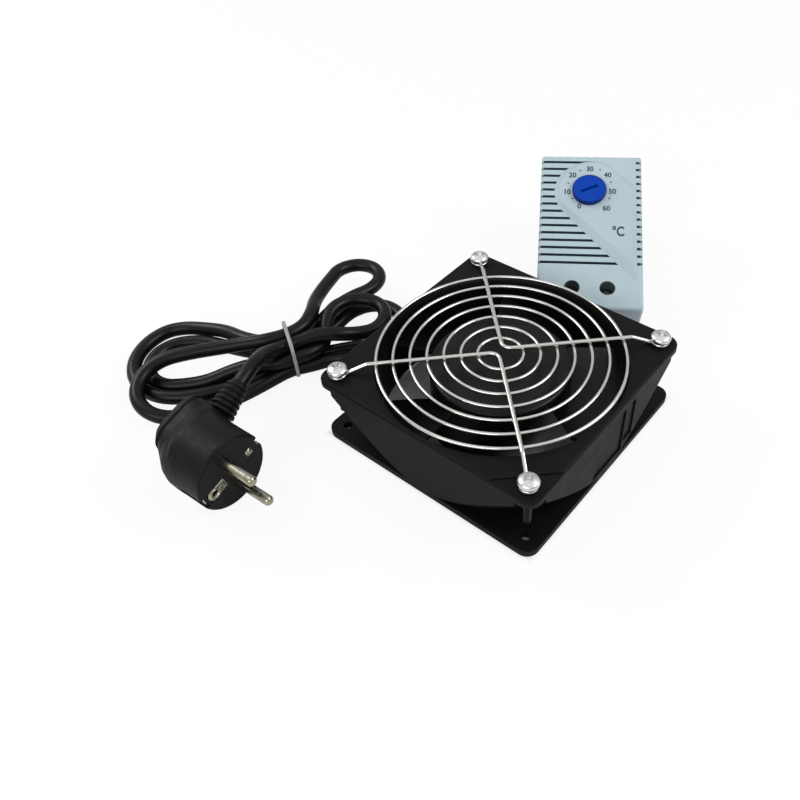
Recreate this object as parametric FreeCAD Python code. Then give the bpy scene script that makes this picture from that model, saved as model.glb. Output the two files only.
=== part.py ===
import FreeCAD, Part
import math
import os
from FreeCAD import Placement, Rotation, Vector

# Mains axial fan, 120 mm square and 38 mm deep, with a wire finger guard, a hanked mains
# lead with an angled plug, and a small cabinet thermostat for a mounting rail.
# Millimetres. Origin: middle of the rear mounting holes, on the rear flange face. +Z is
# the way the air comes in, through the guard. X and Y run along the sides of the frame.

os.makedirs("parts", exist_ok=True)

# ---- fan frame (die-cast, two flanges joined by a flared drum) ----
FRAME_SIDE = 120.0
FRAME_DEPTH = 38.0
FRAME_CORNER_R = 6.0
FRAME_TOP_EDGE_R = 1.5
FRAME_REAR_EDGE_R = 0.8
FLANGE_T = 4.0
HOLE_PITCH = 105.0
HOLE_D = 4.3
THROAT_R = 57.0
MOUTH_WIDER = 1.3           # how much the inlet mouth opens past the throat
MOUTH_DEPTH = 5.0
DRUM_REAR_R = 60.5          # drum radius where it leaves the rear flange
DRUM_MID_R = 70.0
DRUM_FRONT_R = 84.5         # the drum has flared out to the corners at the front
LAND_DROP = 0.5             # corner lands lie this far under the front face
LAND_FROM_CENTRE = 69.0     # diagonal distance at which a corner land starts
SCREW_POCKET_R = 6.5        # vertical scoop in the drum round each screw
PANEL_DEPTH = 0.8           # shallow sunk panels on the right-hand side
STRUT_COUNT = 4
STRUT_W = 6.0
STRUT_T = 4.0
MOTOR_PLATE_R = 34.0
MOTOR_PLATE_T = 3.0
BEARING_TUBE_R = 7.0
BEARING_TUBE_TOP = 27.0

# ---- bearings and shaft ----
SHAFT_R = 2.5
RUNNING_GAP = 0.02
PRESS_GAP = 0.01
BUSH_R = 4.6
BUSH_LEN = 6.0
SHAFT_BOTTOM = 3.2
CLIP_T = 0.6
WASHER_T = 0.8
CAP_T = 1.2

# ---- motor ----
AIR_GAP = 0.4
STATOR_BOTTOM = 9.0
STATOR_TOP = 25.0
TOOTH_COUNT = 8
TOOTH_W = 4.6
TOOTH_TIP_T = 2.6
STATOR_HUB_R = 11.0
HUB_R = 33.0
ROTOR_RING_W = 8.5          # air gap, cage, cup and hub wall together
STATOR_R = HUB_R - ROTOR_RING_W
WINDING_T = 2.2
CAGE_T = 2.6
CUP_T = 1.2

# ---- impeller ----
HUB_WALL = 2.0
HUB_TOP = 35.5
HUB_BOTTOM = 7.0
BLADE_COUNT = 5
BLADE_TIP_GAP = 1.2
BLADE_T = 2.0
BLADE_LOW = 8.5
BLADE_HIGH = 32.0
BLADE_SWEEP_ROOT = 58.0     # degrees of turn a blade covers at the hub
BLADE_SWEEP_TIP = 50.0
BLADE_CAMBER = 3.0

# ---- finger guard ----
RING_COUNT = 7
RING_FIRST_R = 10.4
RING_PITCH = 7.73
RING_WIRE_R = 0.8
STAY_WIRE_R = 1.0
RING_UP = 3.0               # rings stand this far above the front face
WIRE_SIDES = 8              # flats round the section of each wire
WELD_SINK = 0.1
STAY_BEND_R = 5.0
STAY_NEAR_CENTRE = 1.6
EYE_R = 3.3                 # centre line of the eye round each screw
JOGGLE_OUTER = 69.0         # distance from the middle where a stay has come down
JOGGLE_INNER = 59.6
JOGGLE_BEND_R = 2.0

# ---- guard screws ----
SCREW_R = 1.95
SCREW_LENGTH = 25.0
HEAD_R = 4.7
HEAD_H = 2.9
RECESS_W = 1.3
RECESS_SPAN = 5.0
RECESS_DEPTH = 1.6
LOCK_WASHER_R = 4.3
LOCK_WASHER_T = 0.7
LOCK_TEETH = 12
NUT_ACROSS_FLATS = 7.0
NUT_T = 3.2
SEAT_GAP = 0.05

# ---- fan supply connector, behind the left-hand side ----
TERMINAL_Y = 36.0
TERMINAL_W = 14.0
TERMINAL_H = 13.0
TERMINAL_OUT = 0.2          # how far the terminal block stands out of the side
TAB_W = 2.8
TAB_T = 0.5
TAB_LENGTH = 7.0
TAB_PITCH = 6.0
CONNECTOR_DEPTH = 14.0
CONNECTOR_W = 13.0
CONNECTOR_H = 11.0
CONNECTOR_RELIEF = 12.0

# ---- lead ----
CORD_D = 7.4
CORD_R = CORD_D / 2
HANK_H = 14.5
TIE_X = -108.0
TIE_Y = -36.5
HANK_AXIS_DEG = 58.7
WAIST_W = 24.0
WAIST_LENGTH = 16.0
WAIST_LOW = 1.4
WAIST_H = 21.0
WAIST_ROUND = 5.0
TIE_W = 3.6
TIE_T = 1.2
LEFT_LOOPS = (-155.0, -72.0, 31.0)      # x, y and radius of each fan of loops
RIGHT_LOOPS = (-111.0, 22.0, 27.0)
LOOPS_NECK_R = 10.0

# ---- plug ----
PLUG_AT = Vector(-62.5, -112.0, 18.6)
PLUG_YAW = 2.8
PLUG_TILT = 14.0
PLUG_R = 18.5
PLUG_BODY_L = 26.0
PIN_R = 2.4
PIN_LENGTH = 19.0
PIN_PITCH = 19.0
PIN_ROOT = 8.0
EARTH_HOLE_DROP = 10.0
EARTH_HOLE_R = 2.5
PLUG_NECK_BACK = 18.5
PLUG_NECK_TOP = 17.0
NECK_LEAN = 8.0             # degrees the neck leans back from the face
RELIEF_LENGTH = 22.0
RELIEF_ROOT_R = 6.9
RELIEF_TIP_R = 5.3
RELIEF_RIBS = 6

# ---- thermostat, lying on its back behind the fan ----
# Its rail foot props it, so that the front leans towards the fan.
THERMO_AT = Vector(-25.2, 66.4, 0.0)
THERMO_TURN = 33.4
THERMO_LEAN = 22.0
THERMO_W = 56.0
THERMO_L = 99.0
THERMO_H = 19.0
THERMO_EDGE_R = 1.8
THERMO_WALL = 2.0
BASE_T = 3.0
PANEL_UP = 2.0              # the raised field has a round end about this centre
PANEL_X = 28.3
PANEL_Y = 74.2
FIELD_FOOT = (20.6, 52.6, 16.3, 17.2)   # radius, right edge, lower right corner, slanting corner
FIELD_TOP = (17.8, 49.8, 28.2, 15.6)
SLOT_COUNT = 15
SLOT_PITCH = 4.73
SLOT_W = 1.6
SLOT_FIRST = 28.0
SLOT_END = 9.0              # long slots stop this far from the right-hand side
SLOT_SIDE_DEPTH = 9.0
SHORT_SLOT_L = 3.2
END_SLOT_COUNT = 9
END_SLOT_PITCH = 5.0
END_SLOT_DEPTH = 1.0
DIAL_X = 26.7
DIAL_Y = 73.1
DIAL_R = 9.4
DIAL_UP = 2.6
DIAL_GAP = 0.05
DIAL_SLOT_L = 10.0
DIAL_SLOT_W = 1.7
DIAL_SLOT_DEPTH = 1.6
DIAL_SLOT_TURN = 26.0
SPINDLE_R = 3.0
CAM_R = 6.0
CAM_THROW = 2.2
CAM_Z = 7.5
CAM_T = 4.0
WELL_R = 4.2
WELL_WALL = 1.2
WELL_X = (18.4, 37.1)
WELL_Y = 12.9
WELL_DEPTH = 9.0
KNOCKOUT_R = 3.4
KNOCKOUT_DEPTH = 0.5
KNOCKOUT_Z = 10.0
BED_TOP_Y = 24.0
CLAMP_T = 1.6
CLAMP_HALF = 5.0
CLAMP_SCREW_R = 3.4
CLAMP_SCREW_H = 2.4
CONTACT_HIGH = 14.0         # top of the snap switch's parts
CONTACT_LOW = 8.0
POST_LENGTH = 6.0
RAIL_W = 35.0
RAIL_PLAY = 0.4
RAIL_LOW_EDGE = 55.5        # how far up the back the rail slot starts
FOOT_EDGE = 51.0            # lower edge of the foot that stands on the table
RAIL_SLOT_DEPTH = 12.0      # from the foot's end to the block that the rail lies against
FOOT_MARGIN = 8.0
HOOK_W = 6.0
HOOK_T = 3.0
HOOK_BITE = 1.2
GUIDE_LOW_Y = 43.0
GUIDE_DEPTH = 7.0
GUIDE_WALL = 6.0
LATCH_W = 14.0
LATCH_GAP = 0.3
LATCH_T = 4.7
LATCH_LOW_Y = 40.0
LATCH_TRAVEL = 3.0
PULL_LENGTH = 6.0
PULL_DEPTH = 3.8
NOSE_W = 3.2
NOSE_DEPTH = 10.6
NOSE_LIP = 1.8
STRIP_T = 0.8

UP = Vector(0, 0, 1)
HALF = FRAME_SIDE / 2
TERMINAL_X = -HALF - TERMINAL_OUT
CORNERS = [(sx * HOLE_PITCH / 2, sy * HOLE_PITCH / 2)
           for sx, sy in ((-1, -1), (1, -1), (1, 1), (-1, 1))]


def save(name, shape):
    shape.exportStep("parts/" + name + ".step")
    print(f"{name}: {len(shape.Solids)} solid(s), {shape.Volume:.1f} mm3, valid {shape.isValid()}")


def box(x0, x1, y0, y1, z0, z1):
    return Part.makeBox(x1 - x0, y1 - y0, z1 - z0, Vector(x0, y0, z0))


def cyl(radius, z0, z1, x=0.0, y=0.0):
    return Part.makeCylinder(radius, z1 - z0, Vector(x, y, z0))


def ring(inner, outer, z0, z1):
    return cyl(outer, z0, z1).cut(cyl(inner, z0 - 1, z1 + 1))


def turned(shape, degrees, about=Vector(0, 0, 0)):
    copy = shape.copy()
    copy.rotate(about, UP, degrees)
    return copy


def moved(shape, x, y, z):
    copy = shape.copy()
    copy.translate(Vector(x, y, z))
    return copy


def group(solids):
    return Part.makeCompound(solids)


def rounded_prism(width, length, corner_r, z0, z1):
    """Upright block with rounded vertical edges, centred on Z."""
    block = box(-width / 2, width / 2, -length / 2, length / 2, z0, z1)
    upright = [e for e in block.Edges if abs(e.tangentAt(e.FirstParameter).z) > 0.9]
    return block.makeFillet(corner_r, upright)


def edges_at(shape, z):
    """Edges that lie wholly at height z."""
    return [e for e in shape.Edges if abs(e.BoundBox.ZMin - z) < 1e-4 and abs(e.BoundBox.ZMax - z) < 1e-4]


def lathe(points):
    """Solid of revolution about Z from a closed outline of (radius, z) points."""
    outline = Part.makePolygon([Vector(r, 0, z) for r, z in points + points[:1]])
    return Part.Face(outline).revolve(Vector(0, 0, 0), UP, 360)


def rounded_path(points, radii):
    """Wire of straight runs, each corner rounded by an arc tangent to both its runs."""
    edges = []
    start = points[0]
    for before, corner, after, radius in zip(points, points[1:], points[2:], radii):
        back = (before - corner).normalize()
        ahead = (after - corner).normalize()
        half_turn = (math.pi - back.getAngle(ahead)) / 2
        reach = radius * math.tan(half_turn)
        middle = (back + ahead).normalize()
        arc_in = corner + back * reach
        arc_out = corner + ahead * reach
        arc_mid = corner + middle * (radius / math.cos(half_turn) - radius)
        edges.append(Part.LineSegment(start, arc_in).toShape())
        edges.append(Part.Arc(arc_in, arc_mid, arc_out).toShape())
        start = arc_out
    edges.append(Part.LineSegment(start, points[-1]).toShape())
    return Part.Wire(edges)


def tube(path, radius):
    """Round bar swept along a wire."""
    start = path.Edges[0]
    first = start.valueAt(start.FirstParameter)
    way = start.tangentAt(start.FirstParameter)
    section = Part.Wire([Part.makeCircle(radius, first, way)])
    return path.makePipeShell([section], True, False)


def wire_ring(radius, wire_r, x, y, z):
    """Closed ring of wire, with a section of WIRE_SIDES flats as wide as the round wire."""
    corners = []
    for number in range(WIRE_SIDES):
        angle = (number + 0.5) * 2 * math.pi / WIRE_SIDES
        corners.append((radius + wire_r * math.cos(angle), wire_r * math.sin(angle)))
    return moved(lathe(corners), x, y, z)


def wire_bar(path, wire_r):
    """Bar of the same section swept along a path."""
    start = path.Edges[0]
    first = start.valueAt(start.FirstParameter)
    way = start.tangentAt(start.FirstParameter)
    side = way.cross(UP).normalize()
    rise = side.cross(way)
    corners = []
    for number in range(WIRE_SIDES + 1):
        angle = (number + 0.5) * 2 * math.pi / WIRE_SIDES
        corners.append(first + side * (wire_r * math.cos(angle)) + rise * (wire_r * math.sin(angle)))
    return path.makePipeShell([Part.makePolygon(corners)], True, False)


def cord_tube(name, points):
    """Cord along a route: every arc is as large as its two runs allow."""
    radii = []
    for before, corner, after in zip(points, points[1:], points[2:]):
        shorter = min((corner - before).Length, (after - corner).Length)
        half_turn = (math.pi - (before - corner).getAngle(after - corner)) / 2
        radii.append(0.45 * shorter / math.tan(half_turn))
    path = rounded_path(points, radii)
    solid = tube(path, CORD_R)
    expected = math.pi * CORD_R ** 2 * path.Length
    print(f"{name}: length {path.Length:.1f}, radii {[round(r, 1) for r in radii]},"
          f" volume over section times length {solid.Volume / expected:.4f}")
    return solid


# ================= fan frame =================

def drum_outside():
    """The flared drum, cut flush with the four sides of the frame."""
    rear = Vector(DRUM_REAR_R, 0, FLANGE_T)
    front = Vector(DRUM_FRONT_R, 0, FRAME_DEPTH)
    middle = Vector(DRUM_MID_R, 0, (FLANGE_T + FRAME_DEPTH) / 2 - 1)
    flare = Part.Arc(rear, middle, front).toShape()
    rest = Part.makePolygon([front, Vector(0, 0, FRAME_DEPTH), Vector(0, 0, FLANGE_T), rear])
    return Part.Face(Part.Wire([flare] + rest.Edges)).revolve(Vector(0, 0, 0), UP, 360)


def frame_outline():
    """Square envelope of the frame with its rounded corners and edges."""
    envelope = rounded_prism(FRAME_SIDE, FRAME_SIDE, FRAME_CORNER_R, 0, FRAME_DEPTH)
    envelope = envelope.makeFillet(FRAME_TOP_EDGE_R, edges_at(envelope, FRAME_DEPTH))
    return envelope.makeFillet(FRAME_REAR_EDGE_R, edges_at(envelope, 0))


def air_passage():
    """Bore of the drum: straight throat, rounded mouth at the front, short lead-out behind."""
    mouth_start = Vector(THROAT_R, 0, FRAME_DEPTH - MOUTH_DEPTH)
    mouth_mid = Vector(THROAT_R + MOUTH_WIDER * 0.25, 0, FRAME_DEPTH - MOUTH_DEPTH * 0.45)
    mouth_end = Vector(THROAT_R + MOUTH_WIDER, 0, FRAME_DEPTH)
    mouth = Part.Arc(mouth_start, mouth_mid, mouth_end).toShape()
    above = Vector(THROAT_R + MOUTH_WIDER, 0, FRAME_DEPTH + 1)
    rest = [mouth_end, above, Vector(0, 0, FRAME_DEPTH + 1), Vector(0, 0, -1),
            Vector(THROAT_R + 1, 0, -1), Vector(THROAT_R, 0, 1.5), mouth_start]
    wire = Part.Wire([mouth] + Part.makePolygon(rest).Edges)
    return Part.Face(wire).revolve(Vector(0, 0, 0), UP, 360)


def spider():
    """Motor plate carried by struts across the outlet, with the bearing tube on it."""
    plate = cyl(MOTOR_PLATE_R, 0, MOTOR_PLATE_T)
    plate = plate.fuse(ring(MOTOR_PLATE_R - 2, MOTOR_PLATE_R, 0, HUB_BOTTOM - 1))
    strut = box(MOTOR_PLATE_R - 3, THROAT_R + 1.5, -STRUT_W / 2, STRUT_W / 2, 0, STRUT_T)
    long_edges = [e for e in strut.Edges if abs(e.tangentAt(e.FirstParameter).x) > 0.9]
    strut = strut.makeFillet(1.2, long_edges)
    for number in range(STRUT_COUNT):
        plate = plate.fuse(turned(strut, 45 + number * 360 / STRUT_COUNT))
    plate = plate.fuse(cyl(BEARING_TUBE_R, 0, BEARING_TUBE_TOP))
    plate = plate.cut(cyl(BUSH_R + PRESS_GAP, CAP_T, BEARING_TUBE_TOP + 1))
    return plate.cut(cyl(BUSH_R + 1.5, -1, CAP_T))


def make_fan_frame():
    drum = drum_outside()
    flanges = rounded_prism(FRAME_SIDE, FRAME_SIDE, FRAME_CORNER_R, 0, FLANGE_T)
    front = rounded_prism(FRAME_SIDE, FRAME_SIDE, FRAME_CORNER_R, FRAME_DEPTH - FLANGE_T, FRAME_DEPTH)
    for x, y in CORNERS:
        scoop = cyl(SCREW_POCKET_R, FLANGE_T, FRAME_DEPTH - FLANGE_T)
        way_out = box(0, 3 * SCREW_POCKET_R, -SCREW_POCKET_R, SCREW_POCKET_R,
                      FLANGE_T, FRAME_DEPTH - FLANGE_T)
        scoop = turned(scoop.fuse(way_out), math.degrees(math.atan2(y, x)))
        drum = drum.cut(moved(scoop, x, y, 0))
    outline = frame_outline()
    passage = air_passage()
    body = drum.fuse(front).common(outline).cut(passage)
    rear = flanges.common(outline).cut(passage)
    for number in range(4):
        land = box(LAND_FROM_CENTRE, FRAME_SIDE, -HALF, HALF, FRAME_DEPTH - LAND_DROP, FRAME_DEPTH + 1)
        body = body.cut(turned(land, 45 + 90 * number))
    for x, y in CORNERS:
        hole = cyl(HOLE_D / 2, -1, FRAME_DEPTH + 1, x, y)
        body = body.cut(hole)
        rear = rear.cut(hole)
    wide_panel = box(HALF - PANEL_DEPTH, HALF + 1, -12, 11.3, 6, 33)
    slim_panel = box(HALF - PANEL_DEPTH, HALF + 1, 12.3, 19.5, 10.5, 33)
    body = body.cut(wide_panel).cut(slim_panel)
    arms = spider().common(passage)
    return body.removeSplitter(), rear.removeSplitter(), arms.removeSplitter(), drum


# The casting is saved as three simple solids that meet face to face.
frame_solid, rear_solid, spider_solid, drum_solid = make_fan_frame()
save("back_flange", rear_solid)
save("fan_frame", frame_solid)
save("motor_spider", spider_solid)


# ================= bearings, shaft and motor =================

UPPER_BUSH_Z = BEARING_TUBE_TOP - BUSH_LEN
LOWER_BUSH_Z = SHAFT_BOTTOM + CLIP_T + 1.2
BUSH_BORE = SHAFT_R + RUNNING_GAP
save("upper_bush", ring(BUSH_BORE, BUSH_R, UPPER_BUSH_Z, BEARING_TUBE_TOP))
save("lower_bush", ring(BUSH_BORE, BUSH_R, LOWER_BUSH_Z, LOWER_BUSH_Z + BUSH_LEN))
save("bearing_cap", cyl(BUSH_R + 1.5 - PRESS_GAP, 0.2, CAP_T - PRESS_GAP))
HUB_UNDERSIDE = HUB_TOP - HUB_WALL
CUP_UNDERSIDE = HUB_UNDERSIDE - CUP_T
thrust_z = BEARING_TUBE_TOP + 0.1
save("thrust_washer", ring(SHAFT_R + 0.1, BUSH_R, thrust_z, thrust_z + WASHER_T))
CLIP_Z = SHAFT_BOTTOM + 0.7
GROOVE_R = SHAFT_R - 0.5
shaft = cyl(SHAFT_R, SHAFT_BOTTOM, HUB_UNDERSIDE)
shaft = shaft.cut(ring(GROOVE_R, SHAFT_R + 1, CLIP_Z, CLIP_Z + CLIP_T))
save("shaft", shaft)
clip = ring(GROOVE_R + PRESS_GAP, SHAFT_R + 1.3, CLIP_Z + PRESS_GAP, CLIP_Z + CLIP_T - PRESS_GAP)
clip = clip.cut(box(0, 10, -GROOVE_R * 0.8, GROOVE_R * 0.8, 0, CLIP_Z + 2))
save("shaft_clip", clip)


def make_stator():
    core = ring(BEARING_TUBE_R + PRESS_GAP, STATOR_HUB_R, STATOR_BOTTOM, STATOR_TOP)
    tooth = box(STATOR_HUB_R - 1, STATOR_R - 1, -TOOTH_W / 2, TOOTH_W / 2, STATOR_BOTTOM, STATOR_TOP)
    tip_ring = ring(STATOR_R - TOOTH_TIP_T, STATOR_R, STATOR_BOTTOM, STATOR_TOP)
    slot = box(0, STATOR_R + 1, -0.9, 0.9, STATOR_BOTTOM - 1, STATOR_TOP + 1)
    step = 360 / TOOTH_COUNT
    for number in range(TOOTH_COUNT):
        core = core.fuse(turned(tooth, number * step))
        tip_ring = tip_ring.cut(turned(slot, (number + 0.5) * step))
    return core.fuse(tip_ring)


def make_windings():
    inner = STATOR_HUB_R + 2.0
    outer = STATOR_R - TOOTH_TIP_T - 0.6
    lap = TOOTH_W / 2 + 0.1
    coil = box(inner, outer, -lap - WINDING_T, lap + WINDING_T, STATOR_BOTTOM - 2.4, STATOR_TOP + 2.4)
    along = [e for e in coil.Edges if abs(e.tangentAt(e.FirstParameter).x) > 0.9]
    coil = coil.makeFillet(1.6, along)
    coil = coil.cut(box(inner - 1, outer + 1, -lap, lap, STATOR_BOTTOM - 0.1, STATOR_TOP + 0.1))
    return group([turned(coil, n * 360 / TOOTH_COUNT) for n in range(TOOTH_COUNT)])


save("stator_core", make_stator())
save("stator_windings", make_windings())
CAGE_IN = STATOR_R + AIR_GAP
CAGE_OUT = CAGE_IN + CAGE_T
CUP_OUT = CAGE_OUT + PRESS_GAP + CUP_T
cage = ring(CAGE_IN, CAGE_OUT, STATOR_BOTTOM, STATOR_TOP)
save("rotor_cage", cage)
cup_wall = ring(CAGE_OUT + PRESS_GAP, CUP_OUT, STATOR_BOTTOM - 1, HUB_UNDERSIDE - PRESS_GAP)
cup_top = ring(SHAFT_R + PRESS_GAP, CUP_OUT, CUP_UNDERSIDE, HUB_UNDERSIDE - PRESS_GAP)
cup_boss = ring(SHAFT_R + PRESS_GAP, SHAFT_R + 2.0, thrust_z + WASHER_T + 0.2, CUP_UNDERSIDE + 0.5)
save("rotor_cup", cup_wall.fuse(cup_top).fuse(cup_boss))


# ================= impeller =================

def blade():
    """Cambered blade: each grid row runs across the chord at one radius, as a helix with a bow."""
    rows = []
    tip_r = THROAT_R - BLADE_TIP_GAP
    root_r = HUB_R - HUB_WALL / 2
    for i in range(5):
        part = i / 4
        radius = root_r + (tip_r - root_r) * part
        sweep = math.radians(BLADE_SWEEP_ROOT + (BLADE_SWEEP_TIP - BLADE_SWEEP_ROOT) * part)
        low = BLADE_LOW + 1.5 * part
        high = BLADE_HIGH - 4.0 * part
        row = []
        for j in range(7):
            chord = j / 6
            angle = sweep * (chord - 0.5)
            bow = BLADE_CAMBER * math.sin(math.pi * chord)
            height = low + (high - low) * chord - bow
            row.append(Vector(radius * math.cos(angle), radius * math.sin(angle), height))
        rows.append(row)
    surface = Part.BSplineSurface()
    surface.interpolate(rows)
    return surface.toShape().extrude(Vector(0, 0, BLADE_T))


def make_impeller():
    hub = cyl(HUB_R, HUB_BOTTOM, HUB_TOP)
    hub = hub.makeFillet(2.0, edges_at(hub, HUB_TOP))
    hub = hub.cut(cyl(CUP_OUT + PRESS_GAP, HUB_BOTTOM - 1, HUB_UNDERSIDE))
    one = blade()
    for number in range(BLADE_COUNT):
        hub = hub.fuse(turned(one, 100 + number * 360 / BLADE_COUNT))
    return hub


save("impeller", make_impeller())


# ================= finger guard =================

LAND_Z = FRAME_DEPTH - LAND_DROP
EYE_Z = LAND_Z + STAY_WIRE_R + SEAT_GAP
RING_Z = FRAME_DEPTH + RING_UP
STAY_Z = RING_Z + RING_WIRE_R + STAY_WIRE_R - WELD_SINK


def make_rings():
    radii = [RING_FIRST_R + n * RING_PITCH for n in range(RING_COUNT)]
    return group([wire_ring(r, RING_WIRE_R, 0, 0, RING_Z) for r in radii])


def make_stay(side):
    """One wire bent from two corner screws to a bend beside the middle; side is +1 or -1 in Y."""
    left = Vector(-HOLE_PITCH / 2, side * HOLE_PITCH / 2, 0)
    bend = Vector(0, side * STAY_NEAR_CENTRE, STAY_Z)
    outward = Vector(left.x, left.y - bend.y, 0).normalize()
    level = Vector(0, bend.y, 0)
    eye_edge = (left - level).Length - EYE_R + 0.5
    marks = [(eye_edge, EYE_Z), (JOGGLE_OUTER, EYE_Z), (JOGGLE_INNER, STAY_Z)]
    leg = [level + outward * far + Vector(0, 0, z) for far, z in marks]
    mirrored = [Vector(-p.x, p.y, p.z) for p in leg]
    points = leg + [bend] + mirrored[::-1]
    radii = [JOGGLE_BEND_R, JOGGLE_BEND_R, STAY_BEND_R, JOGGLE_BEND_R, JOGGLE_BEND_R]
    wire = wire_bar(rounded_path(points, radii), STAY_WIRE_R)
    for x in (left.x, -left.x):
        wire = wire.fuse(wire_ring(EYE_R, STAY_WIRE_R, x, left.y, EYE_Z))
    return wire


save("guard_rings", make_rings())
save("guard_stays", group([make_stay(1), make_stay(-1)]))


# ================= guard screws, washers and nuts =================

WASHER_Z = EYE_Z + STAY_WIRE_R + 2 * SEAT_GAP
HEAD_Z = WASHER_Z + LOCK_WASHER_T + SEAT_GAP


def make_screw():
    """Pan head with a cross recess, on a plain shank."""
    rim = Vector(HEAD_R, 0, 0)
    shoulder = Vector(HEAD_R * 0.80, 0, HEAD_H * 0.72)
    crown = Vector(0, 0, HEAD_H)
    side = Part.Arc(rim, Vector(HEAD_R * 0.97, 0, HEAD_H * 0.42), shoulder).toShape()
    dome = Part.Arc(shoulder, Vector(HEAD_R * 0.45, 0, HEAD_H * 0.93), crown).toShape()
    base = Part.makePolygon([crown, Vector(0, 0, 0), rim])
    head = Part.Face(Part.Wire([side, dome] + base.Edges)).revolve(Vector(0, 0, 0), UP, 360)
    arm = box(-RECESS_SPAN / 2, RECESS_SPAN / 2, -RECESS_W / 2, RECESS_W / 2,
              HEAD_H - RECESS_DEPTH, HEAD_H + 1)
    cone = Part.makeCone(0.6, 2.0, RECESS_DEPTH + 0.6, Vector(0, 0, HEAD_H - RECESS_DEPTH - 0.4))
    head = head.cut(arm.fuse(turned(arm, 90)).fuse(cone))
    shank = cyl(SCREW_R, -SCREW_LENGTH, 0.2)
    shank = shank.makeChamfer(0.5, edges_at(shank, -SCREW_LENGTH))
    return head.fuse(shank)


def make_lock_washer():
    """Outside-serrated washer: a ring with notches between its teeth."""
    washer = ring(SCREW_R + 0.2, LOCK_WASHER_R, 0, LOCK_WASHER_T)
    notch = box(LOCK_WASHER_R - 0.7, LOCK_WASHER_R + 1, -0.35, 0.35, -1, LOCK_WASHER_T + 1)
    for number in range(LOCK_TEETH):
        washer = washer.cut(turned(notch, number * 360 / LOCK_TEETH))
    return washer


def make_nut():
    corner_r = NUT_ACROSS_FLATS / 2 / math.cos(math.pi / 6)
    corners = [Vector(corner_r * math.cos(math.radians(a)), corner_r * math.sin(math.radians(a)), 0)
               for a in range(0, 361, 60)]
    nut = Part.Face(Part.makePolygon(corners)).extrude(Vector(0, 0, NUT_T))
    return nut.cut(cyl(SCREW_R + 0.05, -1, NUT_T + 1))


screw = make_screw()
lock_washer = make_lock_washer()
nut = make_nut()
nut_z = FRAME_DEPTH - FLANGE_T - SEAT_GAP - NUT_T
save("guard_screws", group([moved(turned(screw, 20 + 35 * n), x, y, HEAD_Z)
                            for n, (x, y) in enumerate(CORNERS)]))
save("lock_washers", group([moved(lock_washer, x, y, WASHER_Z) for x, y in CORNERS]))
save("hex_nuts", group([moved(nut, x, y, nut_z) for x, y in CORNERS]))


# ================= supply connector =================

def make_terminal_block():
    block = box(TERMINAL_X, -THROAT_R * 0.75, TERMINAL_Y - TERMINAL_W / 2, TERMINAL_Y + TERMINAL_W / 2,
                FLANGE_T, FLANGE_T + TERMINAL_H)
    return block.cut(drum_solid)


tab_z = FLANGE_T + TERMINAL_H / 2
tab_ys = [TERMINAL_Y - TAB_PITCH / 2, TERMINAL_Y + TAB_PITCH / 2]
tabs = [box(TERMINAL_X - TAB_LENGTH, TERMINAL_X + 2, y - TAB_T / 2, y + TAB_T / 2,
            tab_z - TAB_W / 2, tab_z + TAB_W / 2) for y in tab_ys]
terminal_block = make_terminal_block()
for tab in tabs:
    terminal_block = terminal_block.cut(tab)
save("terminal_block", terminal_block)
save("terminal_tabs", group(tabs))
CONNECTOR_X = TERMINAL_X - SEAT_GAP
cord_exit_x = CONNECTOR_X - CONNECTOR_DEPTH / 2
connector = box(CONNECTOR_X - CONNECTOR_DEPTH, CONNECTOR_X, TERMINAL_Y - CONNECTOR_W / 2,
                TERMINAL_Y + CONNECTOR_W / 2, tab_z - CONNECTOR_H / 2, tab_z + CONNECTOR_H / 2)
connector = connector.makeFillet(2.0, [e for e in connector.Edges if e.BoundBox.XMax < CONNECTOR_X - 1])
for y in tab_ys:
    connector = connector.cut(box(CONNECTOR_X - TAB_LENGTH - 0.5, CONNECTOR_X + 1, y - TAB_T / 2 - 0.1,
                                  y + TAB_T / 2 + 0.1, tab_z - TAB_W / 2 - 0.1, tab_z + TAB_W / 2 + 0.1))
relief_y = TERMINAL_Y - CONNECTOR_W / 2
neck = Part.makeCone(CORD_R + 0.7, CORD_R + 2.0, CONNECTOR_RELIEF,
                     Vector(cord_exit_x, relief_y - CONNECTOR_RELIEF + 1, tab_z), Vector(0, 1, 0))
save("fan_connector", connector.fuse(neck))
CORD_EXIT = Vector(cord_exit_x, relief_y - CONNECTOR_RELIEF + 1, tab_z)


# ================= plug =================

PLUG_PLACE = Placement(PLUG_AT, Rotation(UP, PLUG_YAW).multiply(Rotation(Vector(1, 0, 0), PLUG_TILT)))


def placed(shape, placement):
    copy = shape.copy()
    copy.Placement = placement.multiply(copy.Placement)
    return copy


def neck_point(distance):
    """Point on the axis of the neck, this far beyond its root."""
    lean = math.radians(NECK_LEAN)
    return PLUG_PLACE.multVec(Vector(-PLUG_NECK_BACK - distance * math.sin(lean),
                                     PLUG_NECK_TOP + distance * math.cos(lean), 0))


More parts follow.
